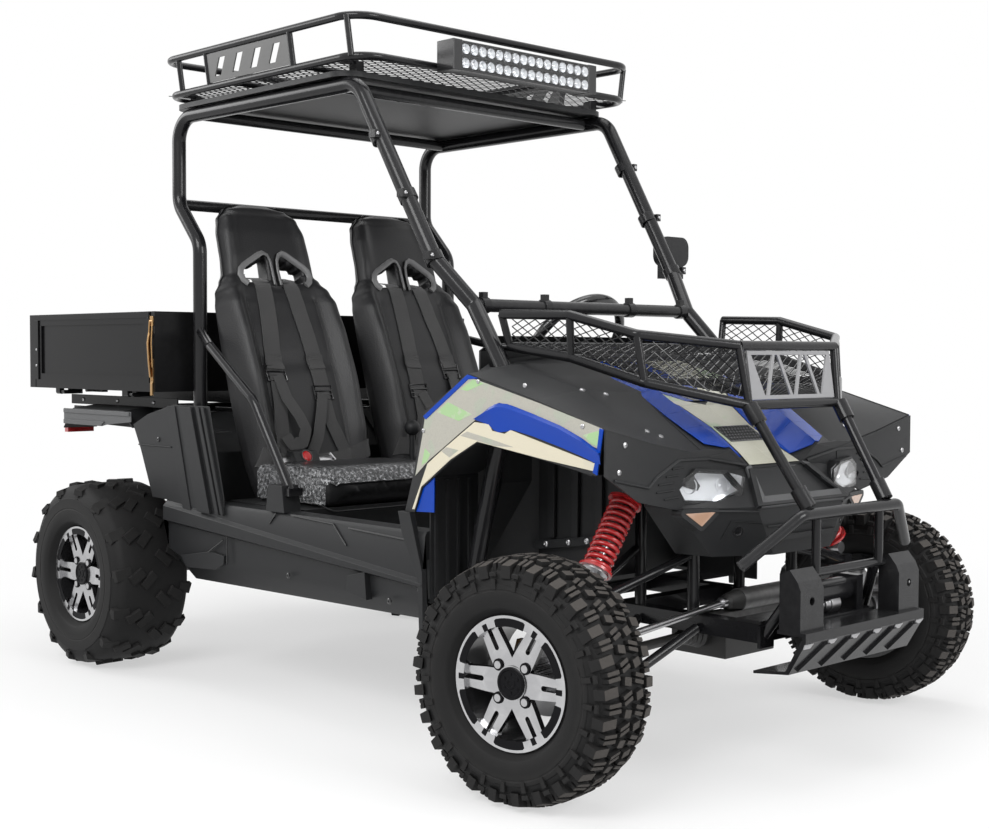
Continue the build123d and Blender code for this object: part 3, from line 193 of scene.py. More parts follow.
white_backdrop()
area_light("key_softbox", (1.5, -4.2, 3.6), (3.0, 2.0), 150)
area_light("front_softbox", (5.0, 0.6, 2.6), (2.5, 2.0), 120)
area_light("rear_softbox", (-4.2, -2.6, 2.8), (2.5, 2.0), 70)
area_light("top_softbox", (0, 0.5, 4.6), (4.0, 3.0), 90)


# ------------------------------------------------------------ shared effects
def group(name, inputs, output, build):
    """A shader node group with named number inputs and one output."""
    made = bpy.data.node_groups.new(name, "ShaderNodeTree")
    for label, value in inputs.items():
        made.interface.new_socket(label, in_out="INPUT", socket_type="NodeSocketFloat").default_value = value
    made.interface.new_socket(output, in_out="OUTPUT", socket_type="NodeSocketFloat")
    entry = made.nodes.new("NodeGroupInput").outputs
    leave = made.nodes.new("NodeGroupOutput")
    made.links.new(build(made, entry, coords_in(made)), leave.inputs[0])
    return made


def build_wear(tree, entry, coords):
    """Bare edges: convex places, broken up by noise."""
    edge = ramped(tree, node(tree, "NewGeometry", {})["Pointiness"], 0.52, 0.62)
    speck = maths(tree, "MULTIPLY", noise_of(tree, coords, entry["Scale"]), edge)
    return maths(tree, "MULTIPLY", speck, entry["Amount"], clamp=True)


def build_grain(tree, entry, coords):
    """Moulded grain: small cells with soft hills between them."""
    cells = node(tree, "TexVoronoi", {"Vector": coords, "Scale": entry["Scale"]})["Distance"]
    return maths(tree, "ADD", cells, noise_of(tree, coords, entry["Scale"], 2.0))


def build_dust(tree, entry, coords):
    """Light dust that lies thicker on what faces up, patchy at the given scale."""
    normal = node(tree, "SeparateXYZ", {0: node(tree, "NewGeometry", {})["Normal"]})
    facing = maths(tree, "MULTIPLY_ADD", normal["Z"], 0.5, 0.5)
    spread = maths(tree, "MULTIPLY", noise_of(tree, coords, entry["Scale"], 6.0), facing)
    return maths(tree, "MULTIPLY", spread, entry["Amount"], clamp=True)


EDGE_WEAR = group("edge_wear", {"Amount": 0.5, "Scale": 60}, "Mask", build_wear)
GRAIN = group("moulded_grain", {"Scale": 900}, "Height", build_grain)
DUST = group("settled_dust", {"Amount": 0.2, "Scale": 6}, "Mask", build_dust)


def placed(tree, node_group, **values):
    """A group node in a material, with its inputs set; gives its output."""
    return node(tree, "Group", values, node_tree=node_group)[0]


def tinted(tree, mask, base, over):
    """The base colour with another laid over it by a mask; a colour is an output, a triple or one grey level."""
    mixed = {"Factor": mask}
    for side, value in (("A", base), ("B", over)):
        if isinstance(value, float):
            value = (value, value, value)
        mixed[side] = (*value, 1) if isinstance(value, tuple) else value
    return node(tree, "Mix", mixed, data_type="RGBA")["Result"]


def bumped(tree, height, strength, distance):
    """A bump from a height."""
    return node(tree, "Bump", {"Strength": strength, "Distance": distance, "Height": height})["Normal"]


def finish_of(name, base, worn, dust_colour, roughness, grain=0, grain_depth=0.0003, dust=0.15, wear=0.3,
              metallic=0.0, coat=0.0, specular=0.5, patch=7):
    """A finish with grain, dust and edge wear; roughness runs from clean to dusty."""
    made, shader, tree = material(name)
    lying = placed(tree, DUST, Amount=dust, Scale=patch)
    bare = placed(tree, EDGE_WEAR, Amount=wear, Scale=55)
    fed(tree, shader, {"Metallic": metallic, "Coat Weight": coat, "Coat Roughness": 0.06,
                       "Specular IOR Level": specular, "Roughness": varied(tree, lying, *roughness),
                       "Base Color": tinted(tree, bare, tinted(tree, lying, base, dust_colour), worn)})
    if grain:
        fed(tree, shader, {"Normal": bumped(tree, placed(tree, GRAIN, Scale=grain), 0.5, grain_depth)})
    return made


def graphic_finish(name, ground, patches, fleck, cell):
    """A printed film with broad patches of other colours and a fine speckle."""
    made, shader, tree = material(name)
    coords = coords_in(tree)
    blot = ramped(tree, noise_of(tree, coords, cell, 2.0), 0.55, 0.60)
    speck = ramped(tree, noise_of(tree, coords, 700, 1.0), 0.45, 0.75)
    colour = tinted(tree, speck, tinted(tree, blot, ground, patches), fleck)
    lying = placed(tree, DUST, Amount=0.1, Scale=8)
    fed(tree, shader, {"Base Color": tinted(tree, lying, colour, (0.4, 0.37, 0.32)), "Coat Weight": 0.6,
                       "Roughness": varied(tree, lying, 0.25, 0.45), "Coat Roughness": 0.08})
    return made


def woven_finish(name, colour, pitch):
    """Tight webbing: ribs one way and the other, with painted shade in the hollows between them."""
    made, shader, tree = material(name)
    coords = coords_in(tree)
    waves = [node(tree, "TexWave", {"Vector": coords, "Scale": pitch, "Distortion": 0.6}, bands_direction=way)["Fac"]
             for way in ("X", "Z")]
    weave = maths(tree, "MULTIPLY", *waves)
    lying = placed(tree, DUST, Amount=0.12, Scale=14)
    # Painted shade: the colour darkens to 0.6 of itself where the weave's height is low, in its hollows.
    base = tinted(tree, weave, tuple(c * 0.6 for c in colour), colour)
    fed(tree, shader, {"Base Color": tinted(tree, lying, base, (0.2, 0.19, 0.17)), "Sheen Weight": 0.3,
                       "Roughness": varied(tree, lying, 0.75, 0.9), "Normal": bumped(tree, weave, 0.6, 0.0006)})
    return made


def clear_finish(name, tint, roughness):
    """Clear hard plastic."""
    made, shader, tree = material(name)
    smear = noise_of(tree, coords_in(tree), 30, 5.0)
    fed(tree, shader, {"Base Color": (*tint, 1), "Transmission Weight": 1.0, "IOR": 1.45,
                       "Roughness": varied(tree, smear, roughness, roughness + 0.15)})
    return made


def film_finish(name, tint, thin, creased_sheen_alpha):
    """Thin clear film, paler and more opaque in patches of its crease noise: partly the whitening of folded film,
    partly a painted highlight.
    """
    made, shader, tree = material(name)
    crease = noise_of(tree, coords_in(tree), 120, 6.0)
    # Painted highlight in part: the pale tint turns more opaque where the crease noise is high, which also stands for
    # whitened folds.
    crease_sheen_mask = ramped(tree, crease, 0.45, 0.7)
    fed(tree, shader, {"Base Color": (*tint, 1), "Specular IOR Level": 0.9, "Coat Weight": 1.0, "Coat Roughness": 0.05,
                       "Alpha": varied(tree, crease_sheen_mask, thin, creased_sheen_alpha), "Roughness": varied(tree, crease, 0.05, 0.3),
                       "Normal": bumped(tree, crease, 0.8, 0.003)})
    return made


# ------------------------------------------------------------ the finishes
# Each has its colour, that of its bare edges and that of its dust (one number is a grey), then its roughness.
BLACK_PLASTIC = finish_of("moulded_black_plastic", (0.0125, 0.013, 0.014), 0.06, 0.08, (0.42, 0.6), 900, 0.0004, 0.1,
                          0.25, specular=0.24)
GLOSS_BLACK = finish_of("gloss_black_plastic", (0.01, 0.01, 0.011), 0.05, 0.1, (0.18, 0.35), dust=0.1, wear=0.1,
                        coat=0.3)
TUBE_PAINT = finish_of("satin_black_tube", (0.008, 0.008, 0.009), 0.16, 0.1, (0.22, 0.4), 250, 0.0002, 0.05, 0.12,
                       coat=0.15, specular=0.22)
BLUE_PAINT = finish_of("royal_blue_paint", (0.0, 0.040, 0.34), (0.0, 0.1, 0.5), (0.0, 0.15, 0.4), (0.25, 0.38),
                       dust=0.04, wear=0.1, coat=0.12, specular=0.2)
TYRE_RUBBER = finish_of("tyre_rubber", (0.007, 0.007, 0.0073), (0.028, 0.027, 0.026), (0.07, 0.066, 0.062),
                        (0.62, 0.85), 420, 0.0004, 0.14, 0.35, specular=0.2, patch=18)
TREAD_TOP = finish_of("scuffed_tread", (0.043, 0.040, 0.037), (0.09, 0.08, 0.075), (0.12, 0.11, 0.10), (0.7, 0.85),
                      500, dust=0.3, wear=0.4, specular=0.15)
CAST_METAL = finish_of("cast_metal", (0.06, 0.06, 0.062), 0.3, (0.2, 0.18, 0.16), (0.45, 0.7), 500, 0.0005, 0.3, 0.5,
                       metallic=0.7)
STEEL = finish_of("zinc_steel", (0.45, 0.45, 0.46), 0.7, (0.3, 0.28, 0.26), (0.28, 0.5), metallic=1.0)
GOLD_ZINC = finish_of("yellow_zinc", (0.42, 0.25, 0.11), (0.6, 0.5, 0.3), (0.3, 0.25, 0.15), (0.28, 0.45), metallic=1.0)
RIM_ALLOY = finish_of("machined_alloy", (0.46, 0.46, 0.47), 0.9, 0.16, (0.22, 0.42), dust=0.35, metallic=1.0, patch=30)
PIT_BLACK = finish_of("rim_recess_black", (0.005, 0.005, 0.006), 0.02, 0.05, (0.35, 0.5), dust=0.05, wear=0.1,
                      specular=0.08)
SPRING_RED = finish_of("red_spring_paint", (0.42, 0.006, 0.008), (0.5, 0.1, 0.1), (0.3, 0.2, 0.2), (0.25, 0.4),
                       dust=0.1, wear=0.2, coat=0.5)
VINYL = finish_of("seat_vinyl", (0.017, 0.017, 0.018), 0.05, 0.1, (0.4, 0.52), 320, 0.0007, 0.06, 0.1, specular=0.3)
GREY_PLASTIC = finish_of("slate_grey_plastic", (0.065, 0.067, 0.07), 0.14, (0.2, 0.19, 0.18), (0.42, 0.6), 900, 0.0004,
                         0.1)
RACK_GREY = finish_of("grey_plate_paint", (0.3, 0.3, 0.31), 0.5, (0.35, 0.33, 0.3), (0.3, 0.48), 300, 0.0002, 0.1,
                      metallic=0.4)
ROOF_PLATE_GREY = finish_of("roof_plate_paint", (0.075, 0.075, 0.074), 0.2, (0.2, 0.19, 0.18), (0.4, 0.55), 300,
                            0.0002, 0.1)
BEZEL_GREY = finish_of("belt_slot_grey", (0.13, 0.13, 0.132), 0.2, (0.2, 0.19, 0.18), (0.45, 0.6), 600, dust=0.1)
BED_BLACK = finish_of("bed_panel_paint", (0.005, 0.005, 0.0055), 0.04, 0.05, (0.22, 0.34), dust=0.08, wear=0.2,
                      specular=0.16)
RUBBER_BOOT = finish_of("boot_rubber", 0.014, 0.05, (0.1, 0.09, 0.08), (0.5, 0.75), 600, dust=0.2)
LENS = finish_of("clear_lens", (0.7, 0.72, 0.74), 0.9, 0.5, (0.1, 0.25), dust=0.1, wear=0.1, coat=1.0)
AMBER_LENS = finish_of("amber_lens", (0.4, 0.24, 0.16), (0.6, 0.5, 0.4), (0.4, 0.35, 0.3), (0.12, 0.25), dust=0.1,
                       wear=0.1, coat=1.0)
RED_LENS = finish_of("red_lens", (0.35, 0.01, 0.012), (0.5, 0.2, 0.2), (0.35, 0.25, 0.2), (0.12, 0.25), dust=0.1,
                     wear=0.1, coat=1.0)
RED_BUTTON = finish_of("red_button_plastic", (0.5, 0.01, 0.012), (0.5, 0.1, 0.1), (0.4, 0.2, 0.2), (0.25, 0.4),
                       dust=0.05, wear=0.1)
REFLECTOR = finish_of("bright_reflector", (0.85, 0.86, 0.88), 0.9, 0.6, (0.12, 0.25), dust=0.05, wear=0.0,
                      metallic=0.55)
FIELD_PRINT = graphic_finish("beige_field_print", (0.40, 0.385, 0.33), (0.37, 0.40, 0.32), (0.33, 0.33, 0.29), 16)
GREEN_PRINT = graphic_finish("green_patch_print", (0.33, 0.52, 0.25), (0.42, 0.50, 0.34), (0.30, 0.46, 0.22), 40)
CREAM_PRINT = graphic_finish("cream_band_print", (0.64, 0.59, 0.45), (0.56, 0.53, 0.42), (0.60, 0.55, 0.43), 9)
HOOD_PRINT = graphic_finish("beige_hood_print", (0.58, 0.57, 0.46), (0.40, 0.55, 0.34), (0.45, 0.45, 0.38), 7)
WEBBING = woven_finish("belt_webbing", (0.03, 0.03, 0.032), 420)
CLEAR_COVER = clear_finish("lamp_cover", (0.96, 0.97, 0.98), 0.02)
# The film's pale tint, more opaque in its crease patches, is partly a painted highlight.
WRAP_FILM = film_finish("seat_wrap_film", (0.75, 0.76, 0.78), 0.06, 0.55)
FINISHES = {
    "frame_paint": TUBE_PAINT, "black_plastic": BLACK_PLASTIC, "body_paint": BLUE_PAINT, "cast_metal": CAST_METAL,
    "steel": STEEL, "rim_alloy": RIM_ALLOY, "tyre": TYRE_RUBBER, "lens": LENS, "black_metal": TUBE_PAINT,
    "seat_vinyl": VINYL, "spring_red": SPRING_RED, "rubber_trim": GLOSS_BLACK, "webbing": WEBBING,
    "rack_metal": RACK_GREY}
NODE_SLOT = {row["node"]: row["material_slot"] for row in frame["record"]["subparts"]}
for node_name, holder in frame["nodes"].items():
    finish = FINISHES[NODE_SLOT[node_name]]
    if node_name in ("fender_left", "fender_right", "hood"):
        finish = BLACK_PLASTIC
    elif node_name.startswith(("bed_side", "bed_tray", "tailgate")):
        finish = BED_BLACK
    elif finish is RACK_GREY and node_name.startswith(("roof", "rack")):
        finish = ROOF_PLATE_GREY
    for index in range(len(holder.data.materials)):
        holder.data.materials[index] = finish

# ------------------------------------------------------------ mesh tools
def added(name, mesh, finishes, body="chassis", bevel=0.0, angle=38, segments=2):
    """A finished piece from a bmesh, riding on a body."""
    data = bpy.data.meshes.new(name)
    bmesh.ops.recalc_face_normals(mesh, faces=mesh.faces)
    mesh.to_mesh(data)
    mesh.free()
    for finish in finishes:
        data.materials.append(finish)
    data.polygons.foreach_set("use_smooth", [True] * len(data.polygons))
    data.set_sharp_from_angle(angle=math.radians(angle))
    made = bpy.data.objects.new(name, data)
    scene.collection.objects.link(made)
    if bevel:
        soften = made.modifiers.new("edges", "BEVEL")
        soften.width = bevel
        soften.segments = segments
        soften.limit_method = "ANGLE"
        soften.angle_limit = math.radians(angle)
        soften.harden_normals = True
    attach(made, body)
    return made


def rounded(piece):
    """Smooths a coarse form by one subdivision."""
    smooth = piece.modifiers.new("rounding", "SUBSURF")
    smooth.levels = smooth.render_levels = 1


def skinned(mesh, rings, index=0, closed=False):
    """Faces between rings of equally many vertices, with the two ends capped unless the rings close."""
    for here, there in zip(rings, rings[1:] + rings[:1] if closed else rings[1:]):
        for k in range(len(here)):
            m = (k + 1) % len(here)
            mesh.faces.new((here[k], here[m], there[m], there[k])).material_index = index
    if not closed:
        for end in (rings[0][::-1], rings[-1]):
            mesh.faces.new(end).material_index = index


def prism(mesh, corners, shift, index=0):
    """A closed plate between an outline and the same outline shifted."""
    shift = Vector(shift)
    low = [mesh.verts.new(Vector(c)) for c in corners]
    high = [mesh.verts.new(Vector(c) + shift) for c in corners]
    faces = [mesh.faces.new(low[::-1]), mesh.faces.new(high)]
    for n in range(len(low)):
        m = (n + 1) % len(low)
        faces.append(mesh.faces.new((low[n], low[m], high[m], high[n])))
    for face in faces:
        face.material_index = index


def brick(mesh, low, high):
    """A box between two opposite corners."""
    (x0, y0, z0), (x1, y1, z1) = low, high
    prism(mesh, [(x0, y0, z0), (x1, y0, z0), (x1, y1, z0), (x0, y1, z0)], (0, 0, z1 - z0))


def side_brick(mesh, hand, low, high):
    """A box on one side, given as on the left."""
    y0, y1 = sorted((hand * low[1], hand * high[1]))
    brick(mesh, (low[0], y0, low[2]), (high[0], y1, high[2]))


def oblong(x0, x1, z0, z1):
    """Corners of a rectangle."""
    return [(x0, z0), (x1, z0), (x1, z1), (x0, z1)]


def plank(mesh, outline, hand, y, depth, index=0):
    """A plate that faces sideways, from (station, height) corners at a half width, and its depth outwards."""
    prism(mesh, [(at(x), hand * y, z) for x, z in outline], (0, hand * depth, 0), index)


def round_points(centre, axis, radius, sides):
    """Points round an axis."""
    side = axis.orthogonal().normalized()
    over = axis.cross(side)
    turns = [2 * math.pi * k / sides for k in range(sides)]
    return [centre + side * (radius * math.cos(turn)) + over * (radius * math.sin(turn)) for turn in turns]


def swept(mesh, points, radius, sides=12, index=0, closed=False, flat=1.0):
    """A round bar along points; flat squeezes its section across the first normal."""
    points = [Vector(p) for p in points]
    count = len(points)
    rings, normal = [], None
    for n, point in enumerate(points):
        if closed:
            run = points[(n + 1) % count] - points[n - 1]
        else:
            run = points[min(n + 1, count - 1)] - points[max(n - 1, 0)]
        run.normalize()
        if normal is None:
            normal = run.orthogonal().normalized()
        normal = (normal - run * normal.dot(run)).normalized()
        across = run.cross(normal)
        turns = [2 * math.pi * k / sides for k in range(sides)]
        rings.append([mesh.verts.new(point + normal * (radius * flat * math.cos(turn))
                                     + across * (radius * math.sin(turn))) for turn in turns])
    skinned(mesh, rings, index, closed)


def turned(mesh, centre, axis, profile, sides=48, index=0):
    """A solid of revolution from (along, radius) pairs; the profile closes on the axis or on itself."""
    centre, axis = Vector(centre), Vector(axis).normalized()
    rings = []
    for along, radius in profile:
        middle = centre + axis * along
        points = round_points(middle, axis, radius, sides) if radius >= 1e-6 else [middle]
        rings.append([mesh.verts.new(p) for p in points])
    for here, there in zip(rings, rings[1:]):
        for k in range(sides):
            m = (k + 1) % sides
            corners = [here[k % len(here)], here[m % len(here)], there[m % len(there)], there[k % len(there)]]
            corners = [c for n, c in enumerate(corners) if c not in corners[:n]]
            if len(corners) > 2:
                mesh.faces.new(corners).material_index = index


def sleeve(mesh, centre, axis, half, inner, outer, sides):
    """A short tube round an axis."""
    turned(mesh, centre, axis, [(-half, inner), (-half, outer), (half, outer), (half, inner), (-half, inner)], sides)


def bolt(mesh, place, out, radius=0.007, height=0.004, index=0):
    """A button-head bolt that stands on a surface."""
    turned(mesh, place, out, [(-0.0005, 0), (-0.0005, radius), (height * 0.55, radius * 0.95), (height, radius * 0.55),
                              (height, radius * 0.3), (height * 0.5, radius * 0.28), (height * 0.5, 0)], 14, index)


def spring_path(foot, top, radius, coils, steps=14):
    """Points of a coil spring between two places."""
    axis = (top - foot).normalized()
    side = axis.orthogonal().normalized()
    over = axis.cross(side)
    total = round(coils * steps)
    for n in range(total + 1):
        turn = 2 * math.pi * n / steps
        yield foot.lerp(top, n / total) + side * (radius * math.cos(turn)) + over * (radius * math.sin(turn))


# ------------------------------------------------------------ fender panels and their printed film
FENDER_Y = 0.5853       # just outside the fenders' outer face
# Outlines on the fender's side: (station, height) in millimetres, then the finish and how far each stands out.
FIELD_OUTLINE = [(-462, 640), (-436, 739), (-428, 780), (-282, 872), (-66, 820), (116, 772), (113, 728), (-184, 817),
                 (-261, 776), (-415, 678)]
BAND_OUTLINE = [(-472, 562), (-418, 671), (-369, 704), (-261, 772), (-215, 769), (-205, 755), (-166, 750), (-148, 759),
                (99, 700), (97, 684), (-44, 700), (-253, 729), (-341, 684), (-440, 616), (-463, 562)]
BORDER_OUTLINE = [(-433, 779), (-285, 877), (-250, 869), (-282, 866), (-424, 772)]
TIP_OUTLINE = [(110, 773), (120, 770), (104, 676), (92, 681), (101, 712)]
GREEN_PATCHES = ([(-387, 790), (-350, 814), (-270, 789), (-313, 772)],
                 [(-309, 843), (-268, 866), (-232, 858), (-285, 840)],
                 [(-428, 706), (-409, 694), (-420, 675), (-440, 664)], [(63, 757), (113, 769), (112, 735), (88, 738)])
GREY_PATCHES = ([(-371, 702), (-353, 712), (-312, 707), (-343, 689)],
                [(-309, 740), (-285, 750), (-211, 737), (-136, 722), (-194, 722), (-252, 731)])
FENDER_PRINT = ([(FIELD_OUTLINE, 0, 1.2), (BAND_OUTLINE, 2, 2.2), (BORDER_OUTLINE, 1, 3.0), (TIP_OUTLINE, 1, 3.0)]
                + [(outline, 3, 1.6) for outline in GREEN_PATCHES] + [(outline, 0, 2.6) for outline in GREY_PATCHES])
FENDER_FOOT = [(-0.466, 0.6125), (-0.402, 0.639), (-0.402, 0.559), (-0.466, 0.556)]
# Scoop, row by row: station, then the heights of its top edge, its ridge, its hollow and its foot.
SCOOP_ROWS = ((-258, 780, 779, 778, 777), (-217, 805, 798, 786, 768), (-198, 813, 805, 788, 756),
              (-184, 816, 808, 790, 752), (-160, 815, 807, 790, 755), (-140, 811, 803, 788, 759),
              (-80, 796, 789, 776, 748), (0, 774, 768, 756, 729), (60, 751, 746, 737, 713), (95, 733, 730, 722, 702),
              (113, 724, 722, 716, 699))
SCOOP_OUT = (0.0015, 0.0095, 0.0060, 0.0020)
for hand, side_name in HANDS:
    panels = bmesh.new()
    grid = [[panels.verts.new((at(x / 1000), hand * (FENDER_Y + out), z / 1000))
             for z, out in zip(heights, SCOOP_OUT)] for x, *heights in SCOOP_ROWS]
    for first, last in zip(grid, grid[1:]):
        for k in range(3):
            ring = [first[k], last[k], last[k + 1], first[k + 1]]
            panels.faces.new(ring if hand < 0 else ring[::-1]).material_index = 1
    for outline, index, depth in FENDER_PRINT:
        plank(panels, [(x / 1000, z / 1000) for x, z in outline], hand, FENDER_Y, depth / 1000, index)
    plank(panels, FENDER_FOOT, hand, 0.5810, -0.003, 1)
    added(f"fender_film_{side_name}", panels, [FIELD_PRINT, BLUE_PAINT, CREAM_PRINT, GREEN_PRINT],
          bevel=0.0008)

# ------------------------------------------------------------ hood: vent, film and bolts
# Sections of the hood's top: station, then (half width, height) of the fold's foot and of its top.
HOOD_ROWS = ((-0.370, (0.110, 0.905), (0.180, 0.925)), (-0.080, (0.110, 0.800), (0.180, 0.838)),
             (0.125, (0.100, 0.671), (0.167, 0.712)))
SHOULDER_FALL = 0.09    # how steeply the hood falls outside its fold
LIFT = Vector((0.0008, 0, 0.0014))
# The film's bands: (finish, rows of station, inner and outer place across the hood).
HOOD_BANDS = (
    (2, ((-0.360, 0.0, 0.040), (-0.190, 0.0, 0.050), (-0.105, 0.0, 0.012))),
    (1, ((-0.360, 0.043, 0.090), (-0.190, 0.053, 0.100), (-0.105, 0.014, 0.040))),
    (0, ((-0.360, 0.093, 0.172), (-0.190, 0.103, 0.200), (-0.105, 0.043, 0.120), (-0.080, 0.0, 0.095),
         (-0.004, 0.0, 0.074))),
    (0, ((-0.004, 0.066, 0.074), (0.046, 0.066, 0.078))),
    (0, ((0.046, 0.0, 0.078), (0.086, 0.0, 0.084), (0.122, 0.0, 0.096))),
    (1, ((-0.186, 0.205, 0.222), (-0.105, 0.124, 0.246), (-0.080, 0.099, 0.247), (-0.004, 0.078, 0.245),
         (0.046, 0.082, 0.238), (0.096, 0.093, 0.229), (0.118, 0.155, 0.182))))
VENT_ROWS, VENT_COLUMNS = 5, 11
VENT_CORNERS = ((-0.003, -0.62), (-0.003, 0.62), (0.046, -0.62), (0.046, 0.62))


def hood_point(station, share):
    """A point on the hood: share 0 is the middle, 1 the fold's foot and 2 its top."""
    for (x0, foot0, top0), (x1, foot1, top1) in zip(HOOD_ROWS, HOOD_ROWS[1:]):
        if station <= x1:
            break
    part = (station - x0) / (x1 - x0)
    foot = [a + (b - a) * part for a, b in zip(foot0, foot1)]
    top = [a + (b - a) * part for a, b in zip(top0, top1)]
    size = abs(share)
    side = -math.copysign(1, share)
    if size <= 1:
        return Vector((at(station), side * foot[0] * size, foot[1]))
    y, z = (a + (b - a) * (size - 1) for a, b in zip(foot, top))
    return Vector((at(station), side * y, z))


def hood_spot(station, y):
    """A point on the hood's skin at a place across it."""
    (foot_y, foot_z), (top_y, top_z) = ((abs(p.y), p.z) for p in (hood_point(station, 1), hood_point(station, 2)))
    reach = abs(y)
    if reach <= foot_y:
        z = foot_z
    elif reach <= top_y:
        z = foot_z + (top_z - foot_z) * (reach - foot_y) / (top_y - foot_y)
    else:
        z = top_z - SHOULDER_FALL * (reach - top_y)
    return Vector((at(station), y, z))


def laid_band(mesh, hand, rows, index):
    """A thin film on the hood between rows of (station, inner place, outer place), bent over its folds."""
    film_rows = []
    for station, inner, outer in rows:
        folds = [min(max(abs(hood_point(station, share).y), inner), outer) for share in (1, 2)]
        film_rows.append([hood_spot(station, hand * y) + LIFT for y in (inner, *folds, outer)])
    for first, last in zip(film_rows, film_rows[1:]):
        for k in range(3):
            ring = []
            for corner in (first[k], last[k], last[k + 1], first[k + 1]):
                if all((corner - other).length > 0.0012 for other in ring):
                    ring.append(corner)
            if len(ring) > 2:
                prism(mesh, ring, (0.0006, 0, 0.0010 + 0.0003 * index), index)


film = bmesh.new()
for hand in (-1, 1):
    for index, rows in HOOD_BANDS:
        laid_band(film, hand, rows, index)
added("hood_film", film, [HOOD_PRINT, BLUE_PAINT, GLOSS_BLACK], bevel=0.0005)

vent = bmesh.new()
for row in range(VENT_ROWS):
    for column in range(VENT_COLUMNS):
        station = -0.001 + 0.047 * (row + 0.5) / VENT_ROWS
        share = -0.60 + 1.20 * (column + (0.25 if row % 2 else 0.75)) / VENT_COLUMNS
        middle = hood_point(station, share) + Vector((0.001, 0, 0.0035))
        turns = [math.pi * k / 3 for k in range(6)]
        cell = [Vector((0.0052 * math.cos(turn), 0.0062 * math.sin(turn), -0.0052 * math.cos(turn) * 0.62))
                for turn in turns]
        swept(vent, [middle + spot for spot in cell], 0.0011, 5, closed=True)
for start, end in ((0, 1), (2, 3), (0, 2), (1, 3)):
    swept(vent, [hood_point(*VENT_CORNERS[k]) + LIFT for k in (start, end)], 0.0028, 6)
added("hood_vent_grille", vent, [GREY_PLASTIC])

# ------------------------------------------------------------ lamps of the nose and tail
# One headlight and one marker, right-hand side, in (y, z) millimetres of the slanted face.
LAMP_OUTLINE = [(-362, 645), (-309, 673), (-224, 669), (-170, 655), (-176, 612), (-234, 605), (-264, 595), (-336, 605)]
MARKER_OUTLINE = [(-345, 583), (-262, 583), (-300, 552)]
LAMP_SLANT, MARKER_SLANT = (116, 160), (132, 172)       # stations of a face's outer and inner end
LENS_STAND = 1.5        # how far a lens stands ahead of its lamp's face, in millimetres
CUPS = ((-308, 638, 0.016), (-222, 637, 0.017))         # (y, z) of the bulbs in a headlight, and their radius
DISH_DEPTH, DISH_Z, DISH_POINTS = 11, 638, (-312, -218)


def lamp_point(y, z, slant, stand, side):
    """A place on a lamp's face, standing off by some millimetres."""
    outer_x, inner_x = slant
    return Vector((at((outer_x + (inner_x - outer_x) * (y + 350) / 170 + stand) / 1000), side * y / 1000, z / 1000))


def shrunk(points, share):
    """An outline drawn in towards its middle."""
    middle = [sum(p[k] for p in points) / len(points) for k in (0, 1)]
    return [tuple(middle[k] + (p[k] - middle[k]) * share for k in (0, 1)) for p in points]


def faceted_dish(mesh, side):
    """Flat mirrors that fall from the headlight's edge to two deep points."""
    edge = [lamp_point(y, z, LAMP_SLANT, -3, side) for y, z in shrunk(LAMP_OUTLINE, 0.95)]
    rim_line = [first.lerp(last, part) for first, last in zip(edge, edge[1:] + edge[:1]) for part in (0, 0.5)]
    points = [lamp_point(y, DISH_Z, LAMP_SLANT, -DISH_DEPTH, side) for y in DISH_POINTS]
    rim_verts = [mesh.verts.new(p) for p in rim_line]
    deep_verts = [mesh.verts.new(p) for p in points]
    nearest = [min((0, 1), key=lambda k: (points[k] - p).length) for p in rim_line]
    for n, vert in enumerate(rim_verts):
        following = (n + 1) % len(rim_verts)
        here, there = nearest[n], nearest[following]
        mesh.faces.new((vert, rim_verts[following], deep_verts[here]))
        if here != there:
            mesh.faces.new((rim_verts[following], deep_verts[there], deep_verts[here]))


lens, lamp_inside = bmesh.new(), bmesh.new()
for side in (1, -1):
    for index, (outline, slant) in enumerate(((LAMP_OUTLINE, LAMP_SLANT), (MARKER_OUTLINE, MARKER_SLANT))):
        prism(lens, [lamp_point(y, z, slant, LENS_STAND, side) for y, z in shrunk(outline, 0.965)], (0.0045, 0, 0),
              index)
    for cup_y, cup_z, radius in CUPS:
        cup = lamp_point(cup_y, cup_z, LAMP_SLANT, -5, side)
        ahead = (1, -0.35 * side, 0)
        turned(lamp_inside, cup, ahead, [(-0.020, 0), (-0.020, 0.004), (-0.014, radius * 0.45), (-0.006, radius * 0.8),
                                         (-0.001, radius), (-0.001, radius * 1.1), (-0.022, radius * 1.1)], 24)
        turned(lamp_inside, cup - Vector((0.016, 0, 0)), ahead,
               [(0, 0.0065), (0.008, 0.0062), (0.012, 0.003), (0.013, 0)], 16)
    faceted_dish(lamp_inside, side)
added("lamp_covers", lens, [CLEAR_COVER, AMBER_LENS], bevel=0.001)
added("lamp_reflectors", lamp_inside, [REFLECTOR])
tail = bmesh.new()
for hand in (-1, 1):
    side_brick(tail, hand, (at(-2.162), 0.480, 0.672), (at(-2.1405), 0.570, 0.722))
    for n in range(3):
        y = min(hand * 0.480, hand * 0.570) + 0.018 + 0.027 * n
        turned(tail, (at(-2.162), y, 0.697), (-1, 0, 0),
               [(0, 0), (0, 0.0115), (0.0018, 0.0108), (0.0035, 0.0055), (0.004, 0)], 20)
tails = added("tail_lamps", tail, [RED_LENS], bevel=0.002)
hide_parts("lamps")

